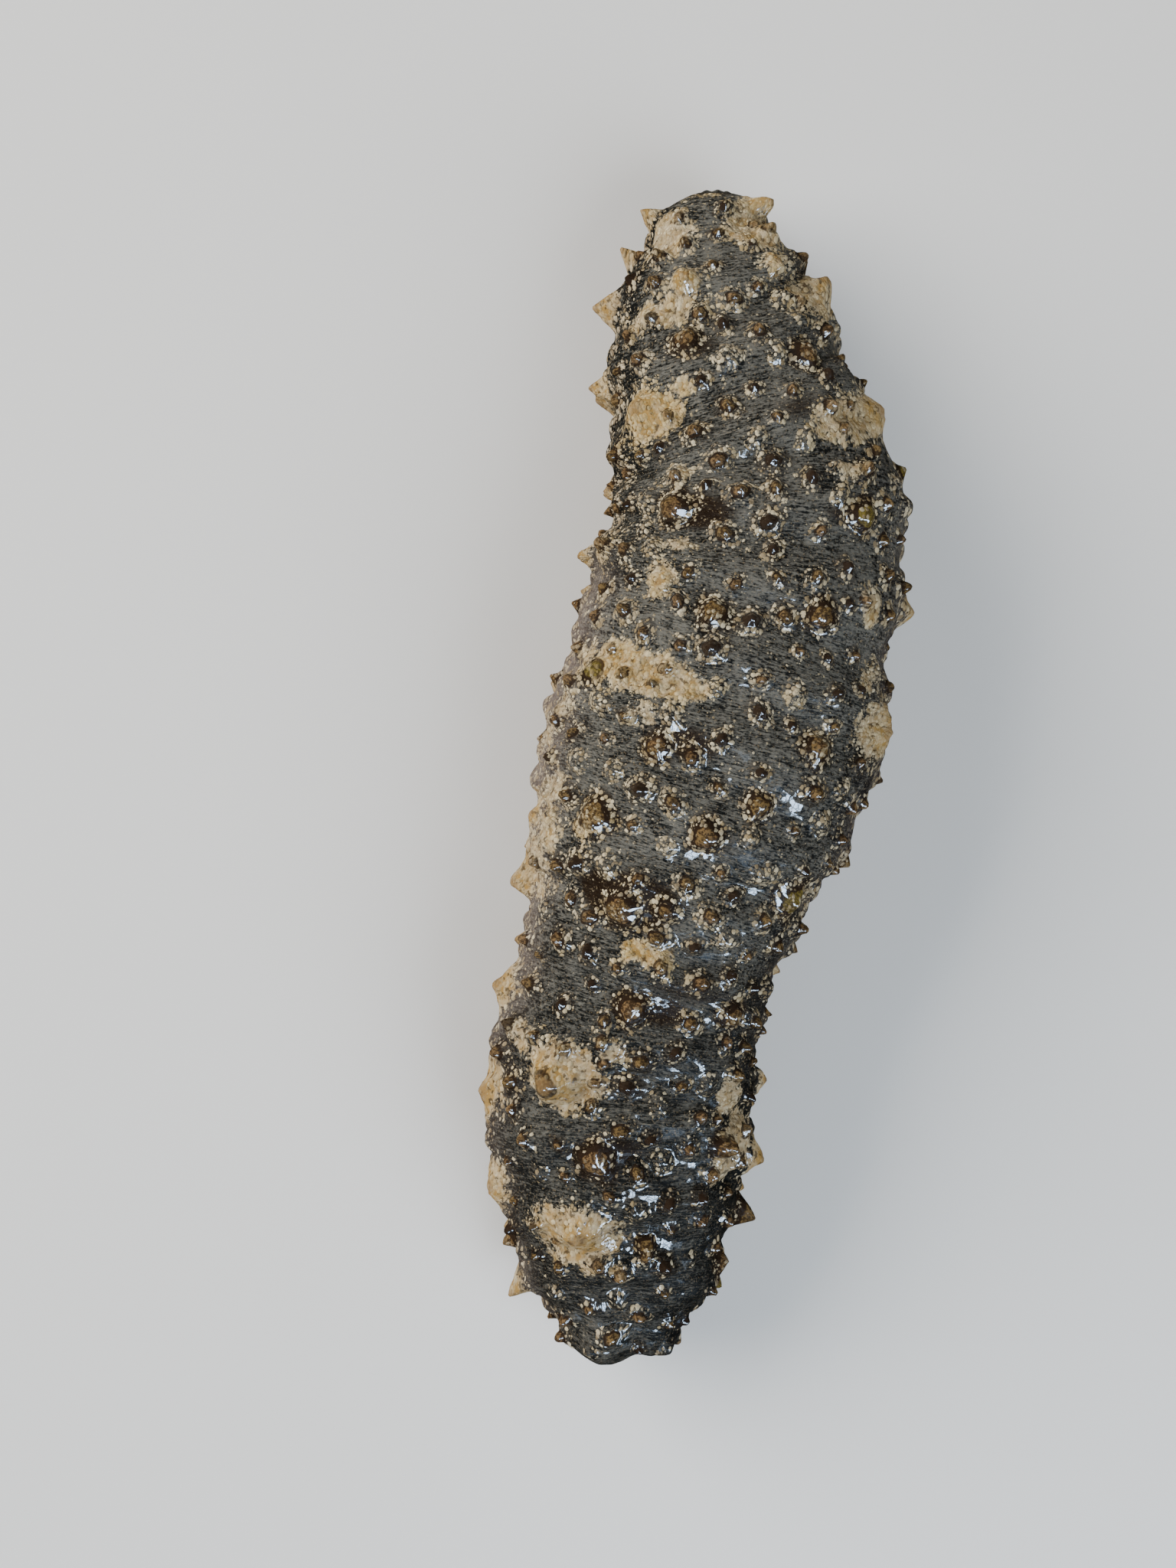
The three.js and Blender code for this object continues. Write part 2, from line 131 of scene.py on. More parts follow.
# Cream blotches: distance from the tail tip, degrees, half-widths across and along, strength
# and how yellow they are
BLOTCHES = (
    (5.7, 131, 2.6, 3.1, 1.1, 0.2), (5.5, 60, 2.9, 3.2, 1.1, 0.35),
    (10.9, 108, 2.2, 1.5, 0.7, 0.1), (13.1, 121, 4.2, 1.5, 1.0, 0.3),
    (10.1, 61, 1.8, 1.5, 0.7, 0.1), (14.2, 43, 3.0, 2.6, 1.0, 0.3),
    (22.3, 134, 3.4, 2.4, 1.1, 0.9), (20.4, 117, 1.7, 1.4, 0.7, 0.3),
    (26.7, 49, 4.4, 2.4, 1.1, 0.3), (29.8, 124, 2.3, 1.1, 0.8, 0.1), (30.6, 61, 2.0, 1.4, 0.7, 0.1),
    (38.3, 117, 1.5, 1.0, 0.8, 0.2), (42.6, 122, 1.9, 2.0, 0.9, 0.3),
    (39.5, 158, 1.4, 1.5, 0.9, 0.5), (40.7, 47, 1.6, 2.0, 0.9, 0.2),
    (51.0, 120, 6.4, 2.0, 1.2, 0.45), (50.4, 134, 2.8, 2.1, 1.1, 0.6),
    (55.3, 152, 2.0, 1.4, 0.8, 0.1), (54.6, 114, 1.8, 1.3, 0.8, 0.1),
    (51.8, 30, 3.0, 2.9, 1.1, 0.15), (46.6, 36, 1.8, 1.6, 0.8, 0.1),
    (50.4, 152, 2.2, 2.0, 0.7, 0.1), (69.0, 172, 3.4, 6.0, 0.95, 0.1),
    (66.4, 128, 2.0, 1.8, 0.8, 0.4), (64.0, 154, 2.4, 2.8, 0.9, 0.1),
    (68.0, 150, 2.6, 2.4, 0.85, 0.2), (71.6, 158, 2.8, 3.2, 0.85, 0.1),
    (58.5, 168, 2.6, 3.0, 0.8, 0.1), (75.5, 94, 2.6, 1.5, 0.9, 0.6),
    (82.0, 174, 3.0, 3.2, 1.0, 0.1), (85.4, 142, 2.0, 1.6, 0.8, 0.1),
    (90.1, 170, 3.0, 4.4, 1.05, 0.1), (87.6, 116, 4.2, 3.2, 1.2, 0.3),
    (84.9, 97, 1.8, 1.3, 0.85, 0.2), (87.9, 42, 2.0, 2.4, 1.0, 0.1),
    (92.7, 34, 3.2, 2.2, 1.05, 0.1), (96.2, 43, 2.2, 2.0, 0.85, 0.1),
    (99.4, 172, 2.8, 3.0, 1.0, 0.1), (102.4, 111, 4.4, 3.4, 1.2, 0.4),
    (109.5, 184, 1.8, 2.0, 0.9, 0.1), (105.1, 184, 1.4, 1.5, 0.8, 0.2),
    (105.7, 91, 1.3, 0.9, 0.7, 0.2), (1.3, 100, 3.4, 1.6, 0.5, 0.3),
    (17.0, 188, 2.4, 2.4, 0.8, 0.7), (2.9, 166, 1.5, 1.6, 0.9, 0.4), (2.7, 46, 1.7, 1.6, 1.0, 0.5),
)

# Dark brown smears beside some warts: distance, degrees, half-widths across and along, strength
SMEARS = (
    (17.3, 108, 2.4, 1.6, 0.8), (34.4, 115, 3.6, 1.7, 1.0), (34.0, 62, 2.4, 1.3, 0.8),
    (45.2, 98, 2.6, 1.6, 0.7), (71.6, 106, 4.8, 2.4, 1.4), (56.6, 101, 3.6, 1.6, 0.9),
    (80.4, 88, 4.0, 1.5, 0.9), (79.3, 50, 2.2, 1.8, 0.9), (93.9, 95, 3.2, 1.7, 0.9),
    (64.0, 88, 2.4, 1.7, 0.7), (25.0, 75, 3.0, 1.6, 0.6), (78.0, 75, 5.0, 1.2, 0.6),
    (0.6, 95, 4.0, 2.2, 0.5),
)

# A lower row of papillae along each edge of the sole
LOWER_ROW = {"from": 14, "to": 108, "spacing": 8.6, "drop": 27, "radius": 1.7, "height": 2.2}

# The small papillae are drawn at random within these distances and degrees
SMALL_ALONG = (2.5, 115.5)
SMALL_DEGREES = (-30, 210)
SMALL_DRAWS = 12000

# Each small papilla has a kind, mostly from 0 to 1: up to the first limit its boss is plain dark,
# up to the second it is glassy in a dark ring, and beyond that there are only beads
DARK_KINDS = 0.2
GLASSY_KINDS = 0.8

# The mouth under the head, and the vent at the tail tip
MOUTH = {"along": 110.6, "tilt": 0.42, "radius": 2.9, "depth": 2.6, "lip": 0.75, "rise": 0.5}
VENT = {"radius": 1.3, "depth": 2.0, "collar": 1.6, "collar_width": 0.75, "collar_height": 0.4}

# The tentacles drawn into the mouth: how many stand in each ring, and the ring's share of the
# mouth's radius. Each is a stalk that ends in buds. Turned shapes are rows of radius as a share
# of their size, height and tone.
TENTACLE_RINGS = ((12, 0.75), (6, 0.37), (1, 0.0))
STALK = ((0.8, 0, 0), (0.75, 0.6, 0.1), (0.9, 1.2, 0.4), (0.7, 1.55, 0.6), (0, 1.7, 0.7))
BUD = ((0, -0.2, 0.4), (0.17, -0.1, 0.6), (0.2, 0.03, 0.8), (0.14, 0.14, 0.95), (0, 0.19, 1))
BUDS_ROUND = 8

# The tube feet are drawn at random on the sole, in a middle band and one along each edge, given
# as shares of its half-width
FOOT_ALONG = (12.0, 106.0)
FOOT_SHARES = (-0.8, 0.8)
FOOT_GAP = (0.23, 0.42)
FOOT_DRAWS = 6000
FOOT = (
    (0, 0.06, 0.75), (0.45, 0.03, 0.5), (0.85, 0, 0.1), (1, 0.1, 0),
    (0.8, 0.26, 0.15), (0.5, 0.45, 0.6), (0.44, 0.8, 0.9), (0.6, 1.3, 1),
)

# Unevenness of the skin's mesh: share, stretch across and along, and step of the seed
WRINKLES = (
    (0.5, 0.13, 0.62, 0), (0.12, 0.3, 1.9, 5), (0.45, 0.42, 0.42, 9), (0.14, 0.95, 0.95, 15),
)

# Unevenness of its colours: stretch across and along, and detail
CLOUDS, PATCHES, FIBRES, GRAIN, FLECKS = (
    (0.16, 0.16, 4), (0.6, 0.6, 4), (0.6, 4.6, 3), (3.2, 3.2, 3), (2.08, 8.0, 2),
)

# Beads of the colours: spacing, and the least and most reach as a share of it
LARGE_BEADS = (0.46, 0.42, 0.72)
FINE_BEADS = (0.28, 0.3, 0.6)

# Where the colours change along the body, from and to these distances: the darker head half, the
# painted shade on the right edge of the tail half, the painted shade on the left edge and the
# painted light on the flanks of the rest, and the two ends of the bare sole
HEAD_GLOOM = (66, 104)
TAIL_SHADE = (30, 56)
LEFT_SHADE = (48, 60)
FLANK_LIGHT = (24, 62)
SOLE_TAIL = (3, 9)
SOLE_HEAD = (106, 111)

# Papillae farther than this many degrees from the middle of the back are pointed, and lean
# away from the middle of the body by this much at its ends
POINTED_FROM = 44
LEAN = 0.3

# The stage, in metres. Soft lights, kept out of the gloss: place, width and height, share of the
# key's power, and tint. Glints are lights that only the gloss shows: place, width and height.
FLOOR_REACH = 1.5
SOFT_LIGHTS = (
    ("key_light", (-0.62, 0.25, 0.4), 0.8, 0.6, 1.0, (1.0, 0.98, 0.95)),
    ("fill_light", (0.35, -0.4, 0.5), 0.5, 0.5, 0.4, (0.84, 0.92, 1.0)),
)
GLINTS = (
    ("lamp_glint", (0.02, -0.2, 0.55), 0.09, 0.13),
    ("window_glint", (0.17, -0.36, 0.4), 0.15, 0.19),
    ("low_glint", (0.34, -0.36, 0.23), 0.16, 0.17),
    ("door_glint", (-0.12, -0.45, 0.27), 0.12, 0.16),
)
GLINT_TINT = (0.56, 0.75, 1.0)
SKY_TINT = (0.9, 0.94, 1.0, 1)

# Every random draw and every noise of the mesh starts from this
SEED = 7


def station_curve(values, along):
    """The smooth curve through values at even steps, read at distances from the tail tip."""
    values = np.asarray(values, float)
    last = len(values) - 1
    x = np.clip(np.asarray(along, float) / BODY_LENGTH, 0, 1) * last
    i = np.minimum(x.astype(int), last - 1)
    f = x - i
    before, here, after = values[np.maximum(i - 1, 0)], values[i], values[i + 1]
    beyond = values[np.minimum(i + 2, last)]
    leave, arrive = (after - before) / 2, (beyond - here) / 2
    cubic = 2 * here - 2 * after + leave + arrive
    square = -3 * here + 3 * after - 2 * leave - arrive
    return cubic * f**3 + square * f**2 + leave * f + here


def smoothstep(x, low, high):
    """0 up to low and 1 from high on, smooth between. It falls where high is below low."""
    t = np.clip((x - low) / (high - low), 0, 1)
    return t * t * (3 - 2 * t)


def within(distance, edge, width):
    """1 inside an edge and 0 outside it, with a soft border."""
    return smoothstep(distance, edge + width, edge - width)


def bell(x, centre, width):
    """A smooth hump of height 1 about a centre."""
    return np.exp(-(((x - centre) / width) ** 2))


def dome(distance, edge, power=1):
    """1 in the middle and 0 from an edge on, rounded between."""
    return np.clip(1 - (distance / edge) ** 2, 0, 1) ** power


def body_frame(along):
    """The body line's point, its heading towards the head and the left-hand direction."""
    def point(distance):
        return np.stack([station_curve(BODY_LINE, distance), BODY_LENGTH / 2 - distance], -1)
    heading = point(along + 0.5) - point(along - 0.5)
    heading /= np.linalg.norm(heading, axis=-1, keepdims=True)
    left = np.stack([-heading[..., 1], heading[..., 0]], -1)
    return point(along), heading, left


def tip_rounding(along):
    """The share of its full breadth and height that the body has near a tip."""
    from_tip = np.minimum(along, BODY_LENGTH - along)
    share = np.clip(1 - from_tip / TIP_ROUNDING, 0, 1)
    return (1 - share**TIP_POWER) ** (1 / TIP_POWER)


def underside_level(along):
    """The height of the sole, which lifts off the floor towards both tips."""
    tail = smoothstep(LIFT_LENGTH - along, 0, LIFT_LENGTH)
    head = smoothstep(along - BODY_LENGTH + LIFT_LENGTH, 0, LIFT_LENGTH)
    return SOLE_LEVEL + TAIL_LIFT * tail + HEAD_LIFT * head


def fold_height(along, angle):
    """The shallow folds that run across the back."""
    bend = 1.1 * np.sin(2 * angle + along * 0.05) + 0.6 * np.cos(3 * angle - along * 0.11)
    ring = np.sin(2 * math.pi * along / FOLD_SPACING + bend)
    back = smoothstep(np.sin(angle), -0.35, 0.25)
    return FOLD_DEPTH * ring * back * tip_rounding(along)


def skin_points(along, angle):
    """Points of the plain skin, for arrays of distance and angle of one shape."""
    along, angle = np.broadcast_arrays(np.asarray(along, float), np.asarray(angle, float))
    point, _, left = body_frame(along)
    bottom = underside_level(along)
    back = station_curve(BACK_HEIGHT, along)
    widest = bottom + WIDEST_SHARE * (back - bottom)
    across, upward = np.cos(angle), np.sin(angle)
    half_width = np.where(
        across >= 0, station_curve(LEFT_HALF_WIDTH, along), station_curve(RIGHT_HALF_WIDTH, along)
    )
    rise = np.where(upward >= 0, back - widest, widest - bottom)
    power = np.where(upward >= 0, 2 / BACK_POWER, 2 / BELLY_POWER)
    size = tip_rounding(along)
    fold = fold_height(along, angle)
    sideways = np.sign(across) * np.abs(across) ** power * half_width * size + fold * across
    height = widest + np.sign(upward) * np.abs(upward) ** power * rise * size + fold * upward
    return np.concatenate([point + left * sideways[..., None], height[..., None]], -1)


def unit(vectors):
    """Vectors brought to a length of 1."""
    return vectors / np.maximum(np.linalg.norm(vectors, axis=-1, keepdims=True), 1e-12)


def seat(along, degrees):
    """A place on the skin with its outward normal and its two directions in the skin."""
    angle = math.radians(degrees)
    place = skin_points(along, angle)
    lengthwise = skin_points(along + 0.2, angle) - skin_points(along - 0.2, angle)
    around = skin_points(along, angle + 0.02) - skin_points(along, angle - 0.02)
    normal = unit(np.cross(around, lengthwise))
    lengthwise = unit(lengthwise - normal * (lengthwise @ normal))
    return place, normal, lengthwise, np.cross(normal, lengthwise)


def lattice_value(cell, seed):
    """A steady pseudo-random number from 0 to 1 for each whole-numbered cell."""
    mixed = cell[..., 0] * 73856093 ^ cell[..., 1] * 19349663 ^ cell[..., 2] * 83492791
    mixed = (mixed ^ (seed * 2654435761)) & 0x7FFFFFFF
    for _ in range(3):
        mixed = (mixed * 1103515245 + 12345) & 0x7FFFFFFF
        mixed ^= mixed >> 11
    return (mixed & 0xFFFFF) / 0xFFFFF


def soft_noise(points, seed, octaves=1):
    """Smooth noise from -1 to 1 over points counted in its cells."""
    total, weight = 0.0, 0.0
    for octave in range(octaves):
        scaled = points * 2.03**octave + 17.3 * octave
        cell = np.floor(scaled).astype(np.int64)
        f = scaled - cell
        f = f * f * (3 - 2 * f)
        value = 0.0
        for corner in itertools.product((0, 1), repeat=3):
            share = np.prod(np.where(corner, f, 1 - f), axis=-1)
            value = value + share * lattice_value(cell + np.array(corner), seed + octave)
        total = total + (2 * value - 1) * 0.5**octave
        weight += 0.5**octave
    return total / weight


# Meshes


def mesh_object(name, points, faces):
    """A smooth mesh object from points in millimetres and arrays of faces of one size each."""
    mesh = bpy.data.meshes.new(name)
    loops = np.concatenate([group.ravel() for group in faces]).astype(np.int32)
    counts = np.concatenate([np.full(len(group), group.shape[1]) for group in faces])
    starts = np.cumsum(counts) - counts
    mesh.vertices.add(len(points))
    mesh.vertices.foreach_set("co", (points * MM).astype(np.float32).ravel())
    mesh.loops.add(len(loops))
    mesh.loops.foreach_set("vertex_index", loops)
    mesh.polygons.add(len(counts))
    mesh.polygons.foreach_set("loop_start", starts.astype(np.int32))
    mesh.polygons.foreach_set("use_smooth", np.ones(len(counts), bool))
    mesh.update(calc_edges=True)
    if mesh.validate():
        raise RuntimeError(name + " has faces that the mesh can't hold")
    thing = bpy.data.objects.new(name, mesh)
    bpy.context.collection.objects.link(thing)
    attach(thing, "root")
    return thing


def add_point_values(mesh, values):
    """Keep a number or a vector for each point of a mesh, under its name."""
    for name, value in values.items():
        kind, field = ("FLOAT_VECTOR", "vector") if value.ndim == 2 else ("FLOAT", "value")
        layer = mesh.attributes.new(name, kind, "POINT")
        layer.data.foreach_set(field, value.astype(np.float32).ravel())


class Skin:
    """A grid of rings round the body, raised into papillae, with a value for each marking."""

    # The dark marking holds the bosses' own dark brown, and the painted shade in the mouth and the
    # vent
    MARKS = ("cream", "yellow", "honey", "olive", "dark", "smear", "tip", "crowd")

    def __init__(self, spacing):
        tip_steps = round(TIP_ARC / spacing)
        tip = TIP_ROUNDING * (1 - np.cos(np.linspace(0, math.pi / 2, tip_steps + 1)[1:]))
        middle_steps = round((BODY_LENGTH - 2 * TIP_ROUNDING) / spacing)
        middle = np.linspace(TIP_ROUNDING, BODY_LENGTH - TIP_ROUNDING, middle_steps + 1)[1:-1]
        self.along = np.concatenate([tip, middle, BODY_LENGTH - tip[::-1]])
        self.angle = self.even_angles(round(GIRTH / spacing))
        self.base = skin_points(self.along[:, None], self.angle[None, :])
        self.tail_tip, self.head_tip = self.tip_point(0), self.tip_point(BODY_LENGTH)
        lengthwise = np.gradient(self.base, axis=0)
        around = np.roll(self.base, -1, 1) - np.roll(self.base, 1, 1)
        self.normal = unit(np.cross(around, lengthwise))
        self.offset = np.zeros_like(self.base)
        self.marks = {name: np.zeros(self.base.shape[:2]) for name in self.MARKS}
        self.unroll()

    @staticmethod
    def tip_point(along):
        """Where the skin closes at a tip."""
        bottom = underside_level(np.float64(along))
        level = bottom + WIDEST_SHARE * (station_curve(BACK_HEIGHT, along) - bottom)
        return np.append(body_frame(np.float64(along))[0], level)

    @staticmethod
    def even_angles(count):
        """Angles whose points lie evenly round the middle section, closer on the back."""
        dense = np.linspace(-math.pi / 2, 1.5 * math.pi, 4001)
        ring = skin_points(np.full_like(dense, BODY_LENGTH / 2), dense)
        step = np.linalg.norm(np.diff(ring, axis=0), axis=1)
        finer = 0.45 + 0.75 * smoothstep(np.sin((dense[1:] + dense[:-1]) / 2), -0.75, -0.2)
        reach = np.concatenate([[0], np.cumsum(step * finer)])
        return np.interp(np.arange(count) / count * reach[-1], reach, dense)

    def unroll(self):
        """Distances from the tail tip over the back, and each point's place on the skin as a
        straight roll of its own girth and length, where patterns don't stretch."""
        top = np.argmin(np.abs(self.angle - math.pi / 2))
        steps = np.linalg.norm(np.diff(self.base[:, top], axis=0), axis=1)
        self.meridian = np.concatenate([[0], np.cumsum(steps)])[:, None]
        steps = np.linalg.norm(np.roll(self.base, -1, 1) - self.base, axis=2)
        girth = np.cumsum(steps, axis=1) - steps
        girth -= girth[:, top : top + 1]
        roll = steps.sum(axis=1, keepdims=True) / (2 * math.pi)
        slant, widen = np.diff(self.meridian, axis=0), np.diff(roll, axis=0)
        climb = np.sqrt(np.maximum(slant**2 - widen**2, 0.04 * slant**2))
        turn = girth / roll
        reach = np.concatenate([[[0.0]], np.cumsum(climb, axis=0)]) + 0 * turn
        self.rest = np.stack([-roll * np.sin(turn), reach, roll * np.cos(turn)], -1)

    def near(self, along, degrees, reach):
        """The rows about a place on the skin, how far their points lie from it across and
        along, and the outward and lengthwise directions there."""
        place, normal, lengthwise, across = seat(along, degrees)
        rows = np.flatnonzero(np.abs(self.base[:, :, 1] - place[1]).min(axis=1) < reach)
        rows = slice(rows[0], rows[-1] + 1)
        away = self.base[rows] - place
        # Points on the body's other side are put out of reach
        other_side = np.abs(away @ normal) > 1.3 * reach
        u = np.where(other_side, 10 * BODY_LENGTH, away @ across)
        return rows, u, away @ lengthwise, normal, lengthwise

    def raise_to(self, name, rows, value):
        """Bring a marking up to a value where it is less."""
        mark = self.marks[name]
        mark[rows] = np.maximum(mark[rows], value)

    def raise_papilla(self, along, degrees, radius, height, finish, draw):
        """A pointed or blunt papilla on a low mound, with its markings."""
        rows, u, v, normal, lengthwise = self.near(along, degrees, 2.4 * radius)
        turn = np.arctan2(v, u)
        wobble = 1 + 0.07 * np.sin(3 * turn + 6 * draw) + 0.05 * np.sin(5 * turn + 11 * draw)
        distance = np.hypot(u, v) / (radius * wobble)
        pointed = abs(degrees - 90) > POINTED_FROM
        if pointed:
            rounded = np.sqrt(np.clip(distance, 0, 1) ** 2 + 0.012) - 0.1
            rise = np.clip(1 - rounded, 0, 1) ** 1.45
        else:
            rise = dome(distance, 1, 1.15)
        lift = height * (0.86 * rise + 0.14 * dome(distance, 1.75, 2))
        lean = LEAN * pointed * np.clip((along - 50) / 55, -1, 1)
        self.offset[rows] += lift[..., None] * unit(normal + lean * lengthwise)
        if finish == CREAM:
            self.raise_to("cream", rows, 1.1 * np.clip(1.4 - distance, 0, 1))
            self.raise_to("tip", rows, within(distance, 0.3, 0.2))
            self.raise_to("yellow", rows, 0.6 * within(distance, 0.8, 0.4))
            self.raise_to("crowd", rows, 0.75 * within(distance, 1.2, 0.5))
        else:
            self.raise_to("dark", rows, bell(distance, 0.62, 0.17))
            glass = OLIVE if finish == OLIVE else HONEY
            self.raise_to(glass, rows, within(distance, 0.56, 0.14))
            self.raise_to("smear", rows, 0.75 * within(distance, 1.3, 0.5))
            self.raise_to("crowd", rows, 0.72 * bell(distance, 0.95, 0.3))
            self.raise_to("crowd", rows, 0.5 * within(distance, 0.55, 0.2) * (draw > 0.3))

    def raise_small(self, along, degrees, radius, height, draw, ringed=False):
        """A small papilla: a low dome, a boss or none, and a crowd of beads round it. The
        later digits of its draw give its further choices."""
        rows, u, v, normal, _ = self.near(along, degrees, 2.2 * radius)
        turn = np.arctan2(v, u)
        wobble = 1 + 0.12 * np.sin(2 * turn + 9 * draw) + 0.07 * np.sin(5 * turn + 17 * draw)
        distance = np.hypot(u, v) / (radius * wobble)
        flank = smoothstep(math.sin(math.radians(degrees)), 0.45, 0.1)
        kind = 0.4 if ringed else (draw * 7.31) % 1 + 0.75 * flank
        plain_dark, glassy = kind <= DARK_KINDS, kind < GLASSY_KINDS
        moat = bell(distance, 0.5, 0.1)
        boss = (0.5 * dome(distance, 0.44, 0.75) - 0.15 * moat) * glassy
        lift = height * (0.85 * dome(distance, 1.15, 1.6) + boss) * (1 - 0.3 * flank)
        self.offset[rows] += lift[..., None] * normal
        if plain_dark:
            self.raise_to("dark", rows, 0.95 * within(distance, 0.52, 0.1))
        elif glassy:
            self.raise_to("dark", rows, 0.95 * moat)
            self.raise_to("honey", rows, 0.8 * within(distance, 0.44, 0.1))
        ring = smoothstep(distance, 0.46, 0.66) * smoothstep(distance, 1.25, 0.9)
        ring *= 1 - 0.8 * np.clip(np.cos(turn - 23 * draw), 0, 1) * ((draw * 5.3) % 1)
        fill = within(distance, 0.9, 0.2) * (not glassy) * (1 - 0.35 * flank)
        self.raise_to("crowd", rows, (0.55 + 0.45 * ((draw * 3.7) % 1)) * np.maximum(ring, fill))
        brown = 0.0 if ringed else 0.48 if kind < 0.4 else 0.32
        self.raise_to("smear", rows, brown * within(distance, 1.3, 0.4))

    def stain(self, name, along, degrees, half_across, half_along, strength):
        """A rounded patch of a marking, strongest in the middle."""
        rows, u, v, *_ = self.near(along, degrees, 1.5 * max(half_across, half_along))
        value = strength * (1 - 0.5 * ((u / half_across) ** 2 + (v / half_along) ** 2))
        self.raise_to(name, rows, np.clip(value, 0, None))

    def wrinkle(self, depth):
        """Fine crosswise wrinkles, deeper and in bands towards the head, and unevenness."""
        amount = sum(
            share * soft_noise(self.rest * np.array([across, along, across]), SEED + step, 2)
            for share, across, along, step in WRINKLES
        )
        to_head = 0.6 * smoothstep(self.meridian, 55, 75)
        bend = 2.2 * soft_noise(self.rest * 0.09, SEED + 12)
        bands = np.sin(2 * math.pi * self.meridian / 6.1 + bend)
        amount = amount * (1 + to_head) + 0.45 * to_head * bands
        fade = smoothstep(self.meridian, 0, 3) * smoothstep(self.meridian[-1] - self.meridian, 0, 3)
        back = smoothstep(np.sin(self.angle), -0.8, -0.1)
        self.offset += (depth * amount * (0.55 + 0.45 * back) * fade)[..., None] * self.normal

    def roughen(self, height):
        """Lumps under the blotches, and unevenness where beads crowd."""
        place = self.rest / 0.62
        crowd = np.clip(self.marks["crowd"] + 0.4 * self.marks["cream"], 0, 1)
        lift = height * crowd * soft_noise(place, SEED + 3, 2)
        blotch = smoothstep(self.marks["cream"], 0.15, 0.8)
        lift += height * blotch * (1.2 + 2.4 * soft_noise(0.42 * place, SEED + 4, 2))
        self.offset += lift[..., None] * self.normal

    def open_mouth(self):
        """The lip and the cup of the mouth, on the underside of the head, with painted shade in the
        cup.
        """
        _, heading, _ = body_frame(np.float64(MOUTH["along"]))
        facing = unit(np.append(MOUTH["tilt"] * heading, -1.0))
        away = self.base + self.offset - mouth_centre()
        depth = away @ facing
        radius = np.linalg.norm(away - depth[..., None] * facing, axis=-1)
        low = (depth > -3.5) & (self.along[:, None] > 100)
        lip = dome(radius - MOUTH["radius"] - 0.45, 0.95)
        pleats = 1 + 0.13 * np.cos(14 * np.arctan2(away[..., 0], away[..., 1] + 1e-9))
        cup = smoothstep(radius, MOUTH["radius"] + 0.1, MOUTH["radius"] * 0.72)
        inward = (-MOUTH["depth"] * cup - depth) * cup
        move = np.where(low, inward + MOUTH["lip"] * lip * pleats * (1 - cup), 0)
        self.offset += move[..., None] * facing
        # Painted shade: the cup of the mouth is darkened
        self.marks["dark"] = np.maximum(self.marks["dark"], np.where(low, 0.8 * cup, 0))

    def shape_head(self):
        """The uneven rim of the head: a lobe on its right and a notch beside it."""
        x = self.base[..., 0]
        near_tip = smoothstep(self.along[:, None], 106, 115.5)
        notch, lobe = 0.5 * bell(x, -6.1, 1.1), 0.7 * bell(x, -9.8, 1.9)
        self.offset[..., 1] += near_tip * (notch - lobe)

    def open_vent(self):
        """The vent at the tail tip: a dimple in a ring of small pleats, darkened inside with
        painted shade.
        """
        away = self.base - self.tail_tip
        radius = np.linalg.norm(away, axis=-1)
        near = self.along[:, None] < 8
        turn = np.arctan2(away[..., 2], away[..., 0])
        pleats = 1 + 0.22 * np.cos(9 * turn)
        collar = VENT["collar_height"] * bell(radius, VENT["collar"], VENT["collar_width"]) * pleats
        dimple = VENT["depth"] * dome(radius, VENT["radius"])
        self.offset[..., 1] += np.where(near, collar - dimple, 0)
        # Painted shade: the vent's dimple is darkened
        vent_painted_shade = np.where(near, 0.9 * smoothstep(radius, 1.25, 0.8), 0)
        self.marks["dark"] = np.maximum(self.marks["dark"], vent_painted_shade)

    def build(self, name):
        """The finished mesh, closed at both tips, with its markings and its bake map."""
        points = self.base + self.offset
        points[..., 2] = np.maximum(points[..., 2], LOWEST_SKIN)
        rings, sides = points.shape[:2]
        tail = self.tail_tip - np.array([0, VENT["depth"], 0])
        flat = np.concatenate([points.reshape(-1, 3), [tail, self.head_tip]])
        index = np.arange(rings * sides).reshape(rings, sides)
        beside = np.roll(index, -1, 1)
        quads = np.stack([index[:-1], beside[:-1], beside[1:], index[1:]], -1).reshape(-1, 4)
        caps = [
            np.stack([beside[0], index[0], np.full(sides, rings * sides)], -1),
            np.stack([index[-1], beside[-1], np.full(sides, rings * sides + 1)], -1),
        ]
        thing = mesh_object(name, flat, [quads, *caps])
        values = {
            mark: np.append(value, [value[0].mean(), value[-1].mean()])
            for mark, value in self.marks.items()
        }
        outward = unit(self.rest * np.array([1, 0, 1]))
        rest = self.rest + outward * np.sum(self.offset * self.normal, axis=-1, keepdims=True)
        tips = [self.rest[0].mean(axis=0), self.rest[-1].mean(axis=0)]
        values["rest"] = np.concatenate([rest.reshape(-1, 3), tips])
        values["upward"] = np.append(np.tile(np.sin(self.angle), rings), [0, 0])
        add_point_values(thing.data, values)
        self.unwrap(thing.data, rings, sides)
        return thing

    @staticmethod
    def unwrap(mesh, rings, sides):
        """The bake map: columns across and rings up, cut along the middle of the sole."""
        column, row = np.meshgrid(np.arange(sides), np.arange(rings))
        u, v = (column / sides).ravel(), ((row + 1) / (rings + 1)).ravel()
        u, v = np.append(u, [0.5, 0.5]), np.append(v, [0.0, 1.0])
        corners = np.empty(len(mesh.loops), np.int32)
        mesh.loops.foreach_get("vertex_index", corners)
        uv = np.stack([u[corners], v[corners]], -1)
        quad_count = (rings - 1) * sides
        quads = uv[: quad_count * 4].reshape(-1, 4, 2)
        wraps = np.ptp(quads[..., 0], axis=1) > 0.5
        quads[wraps, :, 0] += quads[wraps, :, 0] < 0.5
        fans = uv[quad_count * 4 :].reshape(-1, 3, 2)
        wraps = np.ptp(fans[:, :2, 0], axis=1) > 0.5
        fans[wraps, :2, 0] += fans[wraps, :2, 0] < 0.5
        fans[:, 2, 0] = fans[:, :2, 0].mean(axis=1)
        layer = mesh.uv_layers.new(name="OFBake")
        layer.data.foreach_set("uv", uv.astype(np.float32).ravel())


